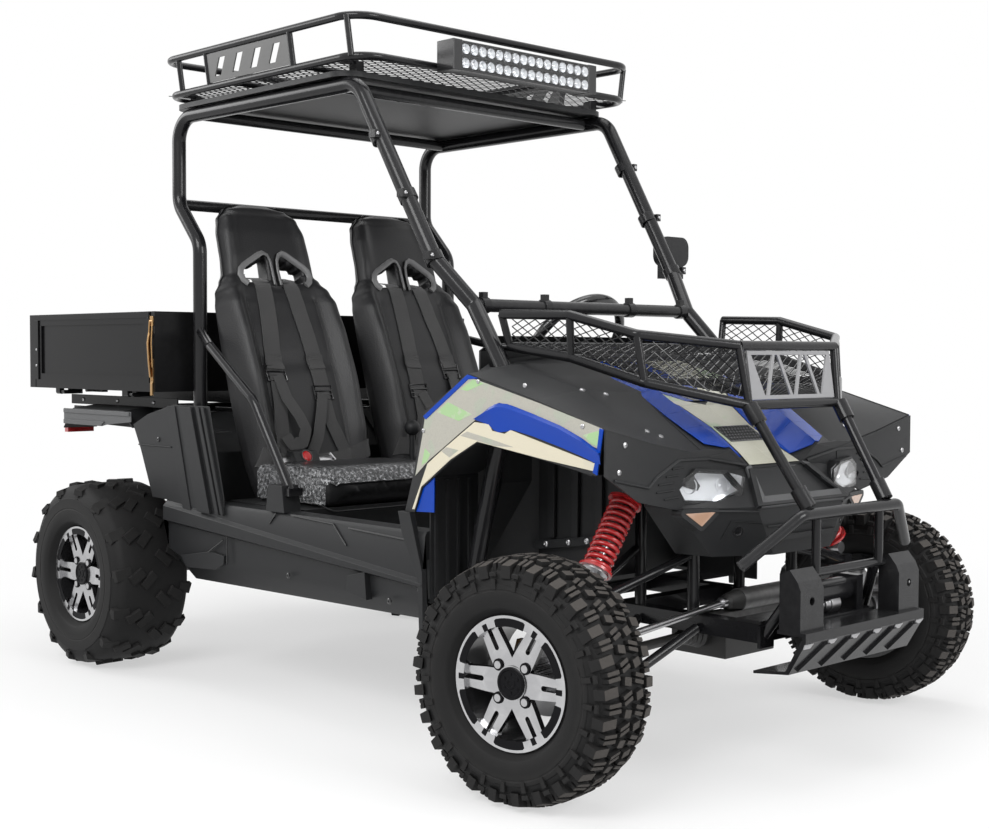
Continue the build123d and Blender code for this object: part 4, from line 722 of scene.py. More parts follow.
# ------------------------------------------------------------ roof light bar
BAR_X, BAR_LOW, BAR_HIGH, BAR_HALF = at(-0.680), 1.645, 1.724, 0.240
CELLS_A_ROW, CELL_PITCH, CELL_ROWS = 16, 0.030, (0.021, 0.0575)
FINS = 20
bar = bmesh.new()
brick(bar, (BAR_X - 0.060, -BAR_HALF, BAR_LOW + 0.002), (BAR_X - 0.012, BAR_HALF, BAR_HIGH - 0.002))
for n in range(FINS):
    y = -0.232 + 0.464 * n / (FINS - 1)
    brick(bar, (BAR_X - 0.074, y - 0.003, BAR_LOW + 0.006), (BAR_X - 0.058, y + 0.003, BAR_HIGH - 0.006))
for hand in (-1, 1):
    side_brick(bar, hand, (BAR_X - 0.064, 0.238, BAR_LOW), (BAR_X, 0.270, BAR_HIGH))
    side_brick(bar, hand, (at(-0.7545), 0.225, 1.655), (BAR_X - 0.04, 0.235, 1.673))
for z in (BAR_LOW + 0.001, (BAR_LOW + BAR_HIGH) / 2 - 0.004, BAR_HIGH - 0.009):
    brick(bar, (BAR_X - 0.014, -BAR_HALF, z), (BAR_X - 0.002, BAR_HALF, z + 0.008))
light_bar = added("light_bar_housing", bar, [GLOSS_BLACK], bevel=0.002)
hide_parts("light_bar")
cells = bmesh.new()
for row in CELL_ROWS:
    for n in range(CELLS_A_ROW):
        place = (BAR_X - 0.011, -0.225 + CELL_PITCH * n, BAR_LOW + row)
        turned(cells, place, (1, 0, 0), [(0, 0), (0, 0.003), (0.002, 0.0065), (0.007, 0.0125), (0.0078, 0.0135),
                                         (0.0, 0.0135)], 18)
        turned(cells, place, (1, 0, 0), [(0.0005, 0.0035), (0.004, 0.003), (0.005, 0)], 10)
added("light_bar_cells", cells, [REFLECTOR])
pane = bmesh.new()
brick(pane, (BAR_X - 0.003, -0.239, BAR_LOW + 0.007), (BAR_X - 0.0005, 0.239, BAR_HIGH - 0.007))
added("light_bar_pane", pane, [CLEAR_COVER], bevel=0.0006)

# ------------------------------------------------------------ expanded mesh of the basket and the roof rack
def clipped(begin, end, across):
    """The part of a line from begin to end that lies between 0 and across, as two shares of its length."""
    low, high = 0.0, 1.0
    for bound in (0, across):
        cross = (bound - begin) / (end - begin)
        if 0 < cross < 1:
            if (end > begin) == (bound == 0):
                low = max(low, cross)
            else:
                high = min(high, cross)
    return low, high


def lozenge_mesh(name, corner_rows, pitch, wire):
    """Diamond mesh over quads given as rows of (left, right) points."""
    mesh = bmesh.new()
    for rows in zip(corner_rows, corner_rows[1:]):
        (left0, right0), (left1, right1) = [[Vector(p) for p in row] for row in rows]
        length = ((left1 - left0).length + (right1 - right0).length) / 2
        width = max((right0 - left0).length, (right1 - left1).length)
        across = max(1, round(width / pitch))
        along = max(1, round(length / (pitch * 0.62)))
        for start in range(-along, across + 1):
            for begin, end in ((start, start + along), (start + along, start)):
                low, high = clipped(begin, end, across)
                if low >= high or not 0 <= begin + (end - begin) * (low + high) / 2 <= across:
                    continue
                ends = []
                for v in (low, high):
                    u = (begin + (end - begin) * v) / across
                    ends.append(left0.lerp(right0, u).lerp(left1.lerp(right1, u), v))
                if (ends[1] - ends[0]).length > pitch * 0.3:
                    swept(mesh, ends, wire, 4)
    return added(name, mesh, [TUBE_PAINT])


BASKET_FLOOR = ((-0.326, 0.386, 0.9476), (-0.150, 0.382, 0.926), (0.045, 0.358, 0.8732), (0.158, 0.155, 0.8286))
# One side panel's two ends: station, half width, foot and top.
BASKET_SIDES = (((-0.335, 0.398, 0.951, 1.004), (-0.155, 0.390, 0.927, 0.999)),
                ((-0.145, 0.390, 0.926, 0.998), (0.028, 0.372, 0.876, 0.957)),
                ((0.052, 0.352, 0.868, 0.950), (0.152, 0.190, 0.832, 0.936)))
RACK_FLOOR = ((-1.650, 0.503, 1.666), (-0.775, 0.503, 1.666))


def level_rows(rows):
    """(right, left) pairs of points from places of the left-hand side."""
    return [sided([row], -1) + sided([row]) for row in rows]


basket_floor = lozenge_mesh("basket_floor_mesh", level_rows(BASKET_FLOOR), 0.034, 0.0016)
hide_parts("basket_mesh")
for hand, side_name in HANDS:
    for (x0, y0, low0, high0), (x1, y1, low1, high1) in BASKET_SIDES:
        rows = [sided([(x0, y0, z0), (x1, y1, z1)], hand) for z0, z1 in ((low0, low1), (high0, high1))]
        lozenge_mesh(f"basket_side_mesh_{side_name}_{round(1000 * (x0 + 1))}", rows, 0.034, 0.0014)
lozenge_mesh("rack_floor_mesh", level_rows(RACK_FLOOR), 0.04, 0.0015)

# ------------------------------------------------------------ tyres
STEER = math.radians(8.2)
FRONT_AXLE = at(-0.015)
REAR_AXLE = at(-1.834)
KINGPIN_Y, WHEEL_REACH, REAR_Y = 0.560, 0.118, 0.601     # a front wheel stands out from its kingpin
FRONT_R, REAR_R = 0.256, 0.272
LUG_ROOT = 0.020        # how far a falling lug's outboard end reaches into the carcass
LUG_TAPER = (0.93, 0.84, 0.06)      # a lug's top against its foot: length, width and how far a cut half leans away


def wheel_place(end, hand):
    """Middle of a tyre and the way its axle points; hand is -1 on the right."""
    if end == "rear":
        return Vector((REAR_AXLE, hand * REAR_Y, REAR_R)), Vector((0, hand, 0))
    out = Vector((-math.sin(STEER), math.cos(STEER), 0)) * hand
    return Vector((FRONT_AXLE, hand * KINGPIN_Y, FRONT_R)) + out * WHEEL_REACH, out


def ways_at(axis, angle):
    """The ways outwards and round the tyre at an angle from its top."""
    outward = UP * math.cos(angle) + axis.cross(UP) * math.sin(angle)
    return outward, axis.cross(outward)


def lug(mesh, centre, axis, angle, across, radius, length, width, height, lean, sipe, fall=0.0):
    """One tread block rooted under the carcass; sipe cuts it across and fall lowers its outboard end."""
    outward, along = ways_at(axis, angle)
    main = (axis + along * lean).normalized()
    cross = main.cross(outward)
    root = centre + outward * radius + axis * across
    for low, high in ((-0.5, -0.07), (0.07, 0.5)) if sipe else ((-0.5, 0.5),):
        square = [(a, b, a * across > 0) for a, b in ((-0.5, low), (0.5, low), (0.5, high), (-0.5, high))]
        base = [root - outward * (LUG_ROOT if fall and outboard else 0) + main * (length * a) + cross * (width * b)
                for a, b, outboard in square]
        top = [root + outward * (height - (fall if outboard else 0)) + main * (length * a * LUG_TAPER[0])
               + cross * (width * (b * LUG_TAPER[1] + (low + high) * LUG_TAPER[2])) for a, b, outboard in square]
        corners = [mesh.verts.new(p) for p in base + top]
        for quad in ((3, 2, 1, 0), (4, 5, 6, 7), (0, 1, 5, 4), (1, 2, 6, 5), (2, 3, 7, 6), (3, 0, 4, 7)):
            mesh.faces.new([corners[k] for k in quad]).material_index = int(quad[0] == 4)


def shoulder_plug(mesh, centre, axis, angle, side, radius, half):
    """A small stepped stud on the sidewall just inside the shoulder."""
    outward, along = ways_at(axis, angle)
    for step, (reach, wide, tall) in enumerate(((0.0, 0.011, 0.022), (0.020, 0.017, 0.009))):
        root = centre + outward * (radius + reach) + axis * (side * (half - 0.004))
        prism(mesh, [root + along * (wide * a) + outward * (tall * b) for a, b in
                     ((-0.5, -0.5), (0.5, -0.5), (0.5, 0.5), (-0.5, 0.5))], axis * (side * (0.0065 - 0.001 * step)))


# Lugs a pitch: (share of the pitch, place across, length across, width round, lean, cut, height), shares of half width.
FRONT_TREAD = ((0.0, -0.77, 0.42, 0.024, 0.10, False, 0.011), (0.0, 0.77, 0.42, 0.024, -0.10, False, 0.011),
               (0.5, -0.66, 0.36, 0.023, 0.06, True, 0.010), (0.5, 0.66, 0.36, 0.023, -0.06, True, 0.010),
               (0.25, -0.24, 0.36, 0.023, 0.30, True, 0.011), (0.75, 0.24, 0.36, 0.023, -0.30, True, 0.011),
               (0.75, -0.22, 0.28, 0.020, -0.22, False, 0.011), (0.25, 0.22, 0.28, 0.020, 0.22, False, 0.011))
REAR_TREAD = [(start + share, side * across, length, width, -side * lean, False, height)
              for start, side in ((0.0, -1), (0.5, 1)) for share, across, length, width, lean, height in
              ((0.02, 0.20, 0.44, 0.030, 0.95, 0.007), (0.14, 0.50, 0.40, 0.032, 0.6, 0.007),
               (0.22, 0.80, 0.38, 0.036, 0.25, 0.005))]
# By end: radius, half width, half width of the rim, depth of the tread, pitches, tread, how far a shoulder lug falls,
# then the (side, share) of a pitch's plugs, and how far inside the carcass and the flank they lie.
TYRES = (("front", FRONT_R, 0.089, 0.070, 0.011, 25, FRONT_TREAD, 0.008, ((-1, 0.5), (1, 0.5)), 0.040, 0.0),
         ("rear", REAR_R, 0.125, 0.102, 0.0075, 14, REAR_TREAD, 0.012, ((-1, 0.22), (1, 0.72)), 0.050, 0.0038))
BEAD_R = 0.1272
for end, radius, half, rim_half, depth, pitches, tread, fall, plugs, plug_in, plug_side in TYRES:
    carcass = radius - depth
    bead = rim_half - 0.0063
    flank = [(bead, BEAD_R), (bead, 0.141), (half - 0.010, 0.152), (half - 0.006, 0.155), (half - 0.005, 0.1575),
             (half - 0.001, 0.166), (half, 0.178), (half, 0.190), (half - 0.0012, 0.1915), (half - 0.0012, 0.1935),
             (half, 0.195), (half - 0.001, carcass - 0.042), (half - 0.0035, carcass - 0.0405),
             (half - 0.009, carcass - 0.024), (half - 0.018, carcass - 0.010), (half - 0.032, carcass - 0.0035),
             (half * 0.3, carcass - 0.0005)]
    profile = [(-u, v) for u, v in flank] + [(0, carcass)] + flank[::-1] + [(-bead, BEAD_R)]
    for hand, side_name in HANDS:
        centre, axis = wheel_place(end, hand)
        tyre = bmesh.new()
        turned(tyre, centre, axis, profile, 96)
        for n in range(pitches):
            for share, across, length, width, lean, cut, height in tread:
                shoulder = abs(across) > 0.6
                drop = 0.006 if shoulder else 0.003
                low = 0.004 if abs(across) > 0.7 else 0.0
                lug(tyre, centre, axis, 2 * math.pi * (n + share) / pitches, across * half, carcass - drop - 0.003,
                    length * half, width, height + drop + 0.0025 - low, lean, cut, fall if shoulder else 0.0)
            for side, share in plugs:
                shoulder_plug(tyre, centre, axis, 2 * math.pi * (n + share) / pitches, side, carcass - plug_in,
                              half - plug_side)
        top = TREAD_TOP if end == "front" else TYRE_RUBBER
        piece = added(f"{end}_{side_name}_tyre_rubber", tyre, [TYRE_RUBBER, top], f"{end}_{side_name}_wheel",
                      bevel=0.0012, segments=1)
        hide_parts(f"{end}_{side_name}_tyre")

# ------------------------------------------------------------ two-tone rims and their hub caps
RIM_FINISHES = (GLOSS_BLACK, RIM_ALLOY, STEEL)
DISC_REACH, NUT_CIRCLE, RIM_LIP = 0.092, 0.048, 0.1145
CAP_PROFILE = [(-0.004, 0.0), (-0.004, 0.0335), (0.002, 0.0335), (0.0035, 0.031), (0.0035, 0.028), (0.0010, 0.026),
               (0.0005, 0.012), (0.0022, 0.0105), (0.0022, 0.007), (0.0008, 0.006), (0.0008, 0)]
NUT_RING = [(0.0002, 0.0082), (0.0016, 0.0090), (0.0016, 0.0118), (0.0002, 0.0126), (0.0002, 0.0082)]
# Outlines on a rim's flange, (radius, degrees) from a spoke's middle: the mouth of an opening and a slot between two.
MOUTH = ([(0.1310, -17.2)] + [(0.1335, step) for step in (-15, -10, -5, 0, 5, 10, 15)] + [(0.1310, 17.2)]
         + [(0.1165, step) for step in (17, 11, 5, 0, -5, -11, -17)])
SLOT = [(0.1310, 30 + step) for step in (-2.6, 0, 2.6)] + [(0.1165, 30 + step) for step in (2.7, -2.7)]
OPENINGS, NUTS = 6, 4
# By end: how far out the rim's face, its half width and the cap lie.
RIMS = (("front", 0.060, 0.0620, 0.070, 0.064), ("rear", 0.088, 0.0900, 0.102, 0.092))


def rim_spot(centre, axis, radius, degrees, out):
    """A place on a wheel, by degrees from its top."""
    angle = math.radians(degrees)
    return centre + axis * out + UP * (radius * math.cos(angle)) + axis.cross(UP) * (radius * math.sin(angle))


def painted_rim(data, centre, axis, face_u, half):
    """Bright face and lip, black depths, bare disc and nuts."""
    data.materials.clear()
    for finish in RIM_FINISHES:
        data.materials.append(finish)
    for polygon in data.polygons:
        away = polygon.center - centre
        along = away.dot(axis)
        reach = (away - axis * along).length
        if along < 0 and reach < DISC_REACH or abs(reach - NUT_CIRCLE) < 0.011 and along > face_u + 0.0005:
            polygon.material_index = RIM_FINISHES.index(STEEL)
        elif polygon.normal.dot(axis) > 0.8 and along > face_u - 0.002 or reach > RIM_LIP and along > half - 0.016:
            polygon.material_index = RIM_FINISHES.index(RIM_ALLOY)


for end, face_u, nut_u, half, cap_u in RIMS:
    for hand, side_name in HANDS:
        centre, axis = wheel_place(end, hand)
        painted_rim(frame["nodes"][f"{end}_{side_name}_rim"].data, centre, axis, face_u, half)
for hand, side_name in HANDS:
    centre, axis = wheel_place("front", hand)
    caliper = bmesh.new()
    ahead = axis.cross(UP) * -hand
    block_at = centre - axis * 0.052 + ahead * 0.066 + UP * 0.030
    prism(caliper, [block_at + ahead * a + UP * b - axis * 0.022 for a, b in
                    ((-0.018, -0.038), (0.016, -0.034), (0.022, 0.0), (0.012, 0.034), (-0.022, 0.036))], axis * 0.016)
    turned(caliper, block_at - axis * 0.024, -axis,
           [(0, 0), (0, 0.013), (0.004, 0.013), (0.006, 0.010), (0.006, 0)], 20)
    added(f"front_{side_name}_caliper", caliper, [GOLD_ZINC], f"front_{side_name}_knuckle", bevel=0.002)
for end, face_u, nut_u, half, cap_u in RIMS:
    for hand, side_name in HANDS:
        centre, axis = wheel_place(end, hand)
        cap = bmesh.new()
        turned(cap, centre + axis * cap_u, axis, CAP_PROFILE, 36, 1)
        for n in range(OPENINGS):
            turned(cap, rim_spot(centre, axis, 0.0190, 60 * n, cap_u + 0.0004), axis,
                   [(0, 0), (0, 0.0036), (0.0018, 0.0030), (0.0018, 0)], 10, 1)
        for n in range(NUTS):
            turned(cap, rim_spot(centre, axis, NUT_CIRCLE, 45 + 90 * n, nut_u), axis, NUT_RING, 24, 1)
        for n in range(OPENINGS):
            for outline in (MOUTH, SLOT):
                prism(cap, [rim_spot(centre, axis, radius, 60 * n + step, half + 0.0002) for radius, step in outline],
                      axis * 0.0007, 1)
        added(f"{end}_{side_name}_hub_cap", cap, [GLOSS_BLACK, PIT_BLACK], f"{end}_{side_name}_wheel",
              bevel=0.0003)

# ------------------------------------------------------------ coil springs and boots
SHOCKS = (((FRONT_AXLE - 0.005, 0.475, 0.425), (FRONT_AXLE - 0.015, 0.325, 0.625)),
          ((REAR_AXLE + 0.010, 0.330, 0.320), (REAR_AXLE + 0.060, 0.300, 0.640)))
COIL_R, COILS, WIRE_R = 0.0285, 11.5, 0.0054
coils = bmesh.new()
for foot, top in SHOCKS:
    for hand in (-1, 1):
        low, high = (Vector((x, hand * y, z)) for x, y, z in (foot, top))
        swept(coils, list(spring_path(low.lerp(high, 0.14), low.lerp(high, 0.86), COIL_R, COILS)), WIRE_R, 10)
        for share in (0.15, 0.85):
            sleeve(coils, low.lerp(high, share), high - low, 0.003, 0.018, 0.039, 28)
springs = added("coil_springs", coils, [SPRING_RED])
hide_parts("shock_springs")


def bellows(folds, start, pitch, ridge, ridge_fall, hollow_shift, hollow, hollow_fall):
    """(along, radius) of a boot's folds, each a ridge or hollow smaller than the one before."""
    profile = []
    for n in range(folds):
        profile += [(start + pitch * n, ridge - ridge_fall * n), (hollow_shift + pitch * n, hollow - hollow_fall * n)]
    return profile


boots = bmesh.new()
profile = [(0.086, 0.0), (0.086, 0.021), *bellows(7, 0.090, 0.0075, 0.019, 0.0008, 0.0937, 0.026, 0.0012),
           (0.146, 0.0125), (0.146, 0.0)]
for hand in (-1, 1):
    turned(boots, (FRONT_AXLE + 0.0989, 0.0143, 0.362), (0, hand, 0), profile, 24)
added("rack_boots", boots, [RUBBER_BOOT], "tie_rods")
axle_boots = bmesh.new()
profile = [(-0.012, 0.0), (-0.012, 0.034), *bellows(5, 0.006, 0.013, 0.035, 0.0042, 0.0125, 0.0275, 0.0035),
           (0.075, 0.013), (0.075, 0.0)]
for hand in (-1, 1):
    start, end = Vector((FRONT_AXLE, hand * 0.105, 0.276)), Vector((FRONT_AXLE, hand * 0.470, 0.262))
    run = (end - start).normalized()
    swept(axle_boots, [start, end], 0.0115, 14)
    turned(axle_boots, start, run, profile, 28)
    turned(axle_boots, end, -run, profile, 28)
brick(axle_boots, (FRONT_AXLE - 0.085, -0.095, 0.222), (FRONT_AXLE + 0.075, 0.095, 0.2985))
added("front_drive_shafts", axle_boots, [RUBBER_BOOT], bevel=0.003)

# ------------------------------------------------------------ seats
SEAT_FOOT = Vector((at(-1.262), 0, 0.560))
RAKE = math.radians(20.3)
SEAT_UP = Vector((-math.sin(RAKE), 0, math.cos(RAKE)))
SEAT_FORWARD = Vector((math.cos(RAKE), 0, math.sin(RAKE)))
# Up the back: half width, how far the bolsters stand ahead, how far the middle is set back.
SEAT_ROWS = ((-0.045, 0.188, 0.004, 0.006), (0.030, 0.203, 0.010, 0.002), (0.075, 0.209, 0.024, 0.000),
             (0.160, 0.213, 0.038, 0.004), (0.300, 0.215, 0.044, 0.008), (0.430, 0.215, 0.043, 0.004),
             (0.530, 0.212, 0.036, -0.002), (0.575, 0.203, 0.024, -0.006), (0.612, 0.180, 0.010, -0.009),
             (0.640, 0.163, 0.004, -0.010), (0.700, 0.159, 0.007, -0.006), (0.760, 0.156, 0.010, -0.006),
             (0.812, 0.143, 0.008, -0.010), (0.846, 0.116, 0.000, -0.020), (0.866, 0.078, -0.016, -0.034))
BEZEL_LINE = (          # (to the side, up the back) of one belt slot's rim
    (0.011, 0.596), (0.010, 0.640), (0.012, 0.672), (0.020, 0.690), (0.034, 0.697), (0.048, 0.692), (0.105, 0.658),
    (0.119, 0.645), (0.124, 0.628), (0.118, 0.610), (0.104, 0.600))
ROW_STEPS = 5
ACROSS = 44
SEAT_MIDDLE = 0.250
STITCHES, STITCH_PITCH, STITCH_LENGTH = 58, 0.0088, 0.0052


def seat_row(height):
    """The seat's half width, bolster stand and middle set-back at a height up the back."""
    for low, high in zip(SEAT_ROWS, SEAT_ROWS[1:]):
        if height <= high[0]:
            break
    part = (height - low[0]) / (high[0] - low[0])
    part = part * part * (3 - 2 * part)
    return [a + (b - a) * part for a, b in zip(low[1:], high[1:])]


def seat_front(side, height):
    """How far the padded face stands ahead of the seat's plane, side from -1 to 1 across."""
    half, bolster, middle = seat_row(height)
    reach = abs(side)
    swell = math.exp(-((reach - 0.80) / 0.13) ** 2) * bolster
    roll = 0.030 * max(0.0, (reach - 0.86) / 0.14) ** 2.2
    stand = middle + 0.010 * (1 - reach ** 2) + swell - roll
    if height < 0.56:
        stand -= 0.007 * math.exp(-((reach - 0.60) / 0.018) ** 2)
        stand -= 0.004 * math.exp(-((side) / 0.5) ** 2) * math.exp(-((height - 0.35) / 0.012) ** 2) * (reach < 0.6)
    stand -= 0.005 * math.exp(-((height - 0.352) / 0.006) ** 2) * (reach < 0.57)
    if 0.56 < height < 0.70:
        stand -= 0.004 * math.exp(-((height - 0.585 - 0.05 * reach) / 0.008) ** 2)
    return stand


def seat_place(middle, across, up):
    """A place in the seat's plane."""
    return SEAT_FOOT + middle + Vector((0, across, 0)) + SEAT_UP * up


def seat_spot(middle, across, up, lift=0.0):
    """A place on the padded face, across and up the back from its foot, standing off by lift."""
    half = seat_row(max(up, SEAT_ROWS[0][0]))[0]
    stand = seat_front(max(-1.0, min(1.0, across / half)), up)
    return seat_place(middle, across, up) + SEAT_FORWARD * (stand + lift)


def share_across(k):
    """Where a column of the seat's grid lies, from -1 to 1, closer together at the sides."""
    return math.sin((-1 + 2 * k / ACROSS) * math.pi / 2 * 0.98)


def upholstery(middle):
    """The seat's back as one closed form, with two openings for the belts."""
    pad = bmesh.new()
    heights = [low[0] + (high[0] - low[0]) * k / ROW_STEPS for low, high in zip(SEAT_ROWS, SEAT_ROWS[1:])
               for k in range(ROW_STEPS)] + [SEAT_ROWS[-1][0]]
    front, rear = [], []
    for height in heights:
        half = seat_row(height)[0]
        back_depth = 0.118 - 0.066 * min(1, max(0, height - 0.15) / 0.55)
        front.append([])
        rear.append([])
        for k in range(ACROSS + 1):
            across = share_across(k)
            at_side = seat_place(middle, half * across, height)
            front[-1].append(pad.verts.new(at_side + SEAT_FORWARD * seat_front(across, height)))
            rear[-1].append(pad.verts.new(at_side - SEAT_FORWARD * (back_depth * (1 - abs(across) ** 5 * 0.55))))
    skipped = set()         # squares of the grid that the belt slots take away
    for r, height in enumerate(heights[:-1]):
        for k in range(ACROSS):
            across = share_across(k + 0.5) * seat_row(height)[0]
            middle_up = (height + heights[r + 1]) / 2
            if 0.020 < abs(across) < 0.104 and 0.610 < middle_up < 0.684 - 0.55 * max(0, abs(across) - 0.035):
                skipped.add((r, k))
    for r in range(len(heights) - 1):
        for k in range(ACROSS):
            if (r, k) in skipped:
                continue
            pad.faces.new((front[r][k], front[r][k + 1], front[r + 1][k + 1], front[r + 1][k]))
            pad.faces.new((rear[r][k], rear[r + 1][k], rear[r + 1][k + 1], rear[r][k + 1]))
        for k in (0, ACROSS):
            corners = (front[r][k], front[r + 1][k], rear[r + 1][k], rear[r][k])
            pad.faces.new(corners if k == 0 else corners[::-1])
    for r, flip in ((0, False), (len(heights) - 1, True)):
        for k in range(ACROSS):
            corners = (front[r][k], rear[r][k], rear[r][k + 1], front[r][k + 1])
            pad.faces.new(corners[::-1] if flip else corners)
    for r, k in skipped:
        for (r1, k1), (a, b) in (((r - 1, k), ((r, k), (r, k + 1))), ((r + 1, k), ((r + 1, k), (r + 1, k + 1))),
                                 ((r, k - 1), ((r, k), (r + 1, k))), ((r, k + 1), ((r, k + 1), (r + 1, k + 1)))):
            if (r1, k1) not in skipped:
                pad.faces.new((front[a[0]][a[1]], front[b[0]][b[1]], rear[b[0]][b[1]], rear[a[0]][a[1]]))
    return pad


for hand, side_name in HANDS:
    middle = Vector((0, hand * SEAT_MIDDLE, 0))
    seat = added(f"seat_{side_name}_upholstery", upholstery(middle), [VINYL], angle=70)
    rounded(seat)
    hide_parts(f"seat_{side_name}")

    trim = bmesh.new()
    for side in (-1, 1):
        swept(trim, [seat_spot(middle, side * across, up, 0.0055) for across, up in BEZEL_LINE], 0.0095, 10, flat=0.45)
    added(f"seat_{side_name}_belt_bezels", trim, [BEZEL_GREY])
    stitches = bmesh.new()
    for side in (-1, 1):
        for n in range(STITCHES):
            up = 0.045 + STITCH_PITCH * n
            half = seat_row(up)[0]
            for share in (0.575, 0.625):
                swept(stitches, [seat_place(middle, side * share * half, top)
                                 + SEAT_FORWARD * (seat_front(side * share, top) + 0.0006)
                                 for top in (up, up + STITCH_LENGTH)], 0.0007, 4)
    added(f"seat_{side_name}_stitches", stitches, [WEBBING])

# ------------------------------------------------------------ harness webbing
def laid_strap(mesh, middle, path, width, thick=0.0024, step=0.014):
    """A flat strap laid on the padded face along (across, up, lift) places."""
    places = []
    for start, end in zip(path, path[1:]):
        start, end = Vector(start), Vector(end)
        count = max(1, round((end - start).length / step))
        places += [start.lerp(end, n / count) for n in range(count)]
    places.append(Vector(path[-1]))
    rings = []
    for n, place in enumerate(places):
        run = places[min(n + 1, len(places) - 1)] - places[max(n - 1, 0)]
        side = Vector((run.y, -run.x, 0)).normalized() * (width / 2)
        below, above = [], []
        for share in (-1, -0.5, 0, 0.5, 1):
            spot = place + side * share
            low = seat_spot(middle, spot.x, spot.y, place.z + 0.0008)
            below.append(low)
            above.append(low + SEAT_FORWARD * thick)
        rings.append([mesh.verts.new(p) for p in below + above[::-1]])
    skinned(mesh, rings)


def slid_buckle(mesh, middle, across, up, wide, tall):
    """A three-bar adjuster that the strap runs through."""
    corner = [seat_spot(middle, across + wide * a / 2, up + tall * b / 2, 0.003) for a, b in
              ((-1, -1), (1, -1), (1, 1), (-1, 1))]
    swept(mesh, corner, 0.0034, 8, 1, closed=True)
    for share in (0.36, 0.66):
        swept(mesh, [corner[0].lerp(corner[3], share), corner[1].lerp(corner[2], share)], 0.0028, 8, 1)


# Straps of the right-hand seat, (to the left, up the back, standing off), and their widths.
STRAPS = (([(-0.052, 0.640, -0.050), (-0.052, 0.618, -0.012), (-0.053, 0.600, 0.001), (-0.064, 0.500, 0.001),
            (-0.080, 0.400, 0.001), (-0.088, 0.325, 0.001)], 0.054),
          ([(0.044, 0.640, -0.050), (0.045, 0.618, -0.012), (0.046, 0.600, 0.001), (0.052, 0.500, 0.001),
            (0.060, 0.400, 0.001), (0.066, 0.262, 0.001)], 0.054),
          ([(-0.089, 0.318, 0.002), (-0.095, 0.230, 0.004), (-0.108, 0.140, 0.003), (-0.120, 0.052, 0.002)], 0.044),
          ([(0.064, 0.258, 0.002), (0.070, 0.170, 0.003), (0.098, 0.090, 0.003), (0.140, 0.050, 0.002)], 0.044),
          ([(-0.086, 0.308, 0.006), (-0.078, 0.240, 0.014), (-0.054, 0.180, 0.024), (-0.044, 0.140, 0.028),
            (-0.060, 0.104, 0.026), (-0.092, 0.100, 0.018), (-0.104, 0.130, 0.010)], 0.036),
          ([(0.058, 0.250, 0.006), (0.036, 0.190, 0.010), (0.006, 0.120, 0.012), (-0.024, 0.074, 0.010)], 0.036),
          ([(-0.196, 0.076, 0.004), (-0.150, 0.060, 0.006), (-0.110, 0.050, 0.010)], 0.048),
          ([(0.196, 0.086, 0.004), (0.120, 0.062, 0.006), (0.052, 0.050, 0.010), (-0.020, 0.046, 0.012)], 0.048))
ADJUSTERS = ((-0.088, 0.318, 0.066, 0.046), (0.064, 0.256, 0.066, 0.040))     # (across, up, wide, tall)
BUCKLE_SIDES = (0.286, 0.368)
BUCKLE_PROFILE = [(-1.262, 0.6135), (-1.222, 0.6135), (-1.215, 0.6200), (-1.232, 0.6460), (-1.262, 0.6480)]
BUCKLE_FACE = Vector((0.87, 0, 0.49)).normalized()
# Points of a steel tongue and of its bent end, outwards from the buckle's side, and their bars.
TONGUES = ((((0, 0, 0), (0.006, 0.028, 0.002), (0.014, 0.052, -0.003)), 0.010, 10, 0.28),
           (((0.012, 0.046, 0.014), (0.022, 0.058, -0.004), (0.012, 0.064, -0.008)), 0.0035, 8, 1.0))


def buckle(mesh, hand):
    """The buckle box leans on the foot of the seat, with its button and two steel tongues."""
    y0, y1 = sorted(hand * y for y in BUCKLE_SIDES)
    prism(mesh, [(at(x), y0, z) for x, z in BUCKLE_PROFILE], (0, y1 - y0, 0), 2)
    button = Vector((at(-1.2245), hand * 0.326, 0.6335))
    turned(mesh, button, BUCKLE_FACE, [(-0.004, 0), (-0.004, 0.0155), (0.0015, 0.0155), (0.0035, 0.013),
                                       (0.0045, 0.006), (0.0045, 0)], 24, 3)
    turned(mesh, button, BUCKLE_FACE, [(0.0, 0.0158), (0.003, 0.0158), (0.003, 0.019), (0.0, 0.019), (0.0, 0.0158)],
           24, 1)
    for reach, turn in zip(BUCKLE_SIDES, (-1, 1)):
        foot = Vector((at(-1.243), hand * reach, 0.624))
        for points, radius, sides, flat in TONGUES:
            swept(mesh, [foot + Vector((x, hand * turn * y, z)) for x, y, z in points], radius, sides, 4, flat=flat)


harness = bmesh.new()
for hand in (-1, 1):
    middle = Vector((0, hand * SEAT_MIDDLE, 0))
    for path, width in STRAPS:
        laid_strap(harness, middle, [(-hand * across, up, lift) for across, up, lift in path], width)
    for across, up, wide, tall in ADJUSTERS:
        slid_buckle(harness, middle, -hand * across, up, wide, tall)
    for across in (-0.083, 0.061):      # the keeper loops above the adjusters
        laid_strap(harness, middle, [(-hand * across, 0.372, 0.004), (-hand * across * 1.04, 0.330, 0.004)], 0.056,
                   0.003)
    buckle(harness, hand)
webbing = added("belt_harnesses", harness, [WEBBING, GLOSS_BLACK, BLACK_PLASTIC, RED_BUTTON, STEEL],
                angle=50)
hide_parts("harnesses")

# ------------------------------------------------------------ seat cushions and their clear film
CUSHION_X = (at(-1.276), at(-0.964))
CUSHION_Y = (0.030, 0.458)
CUSHION_Z = (0.5165, 0.617)
CORNER_POINTS = 6
EDGE_STEP = 0.02        # distance between points along the cushion's straight edges
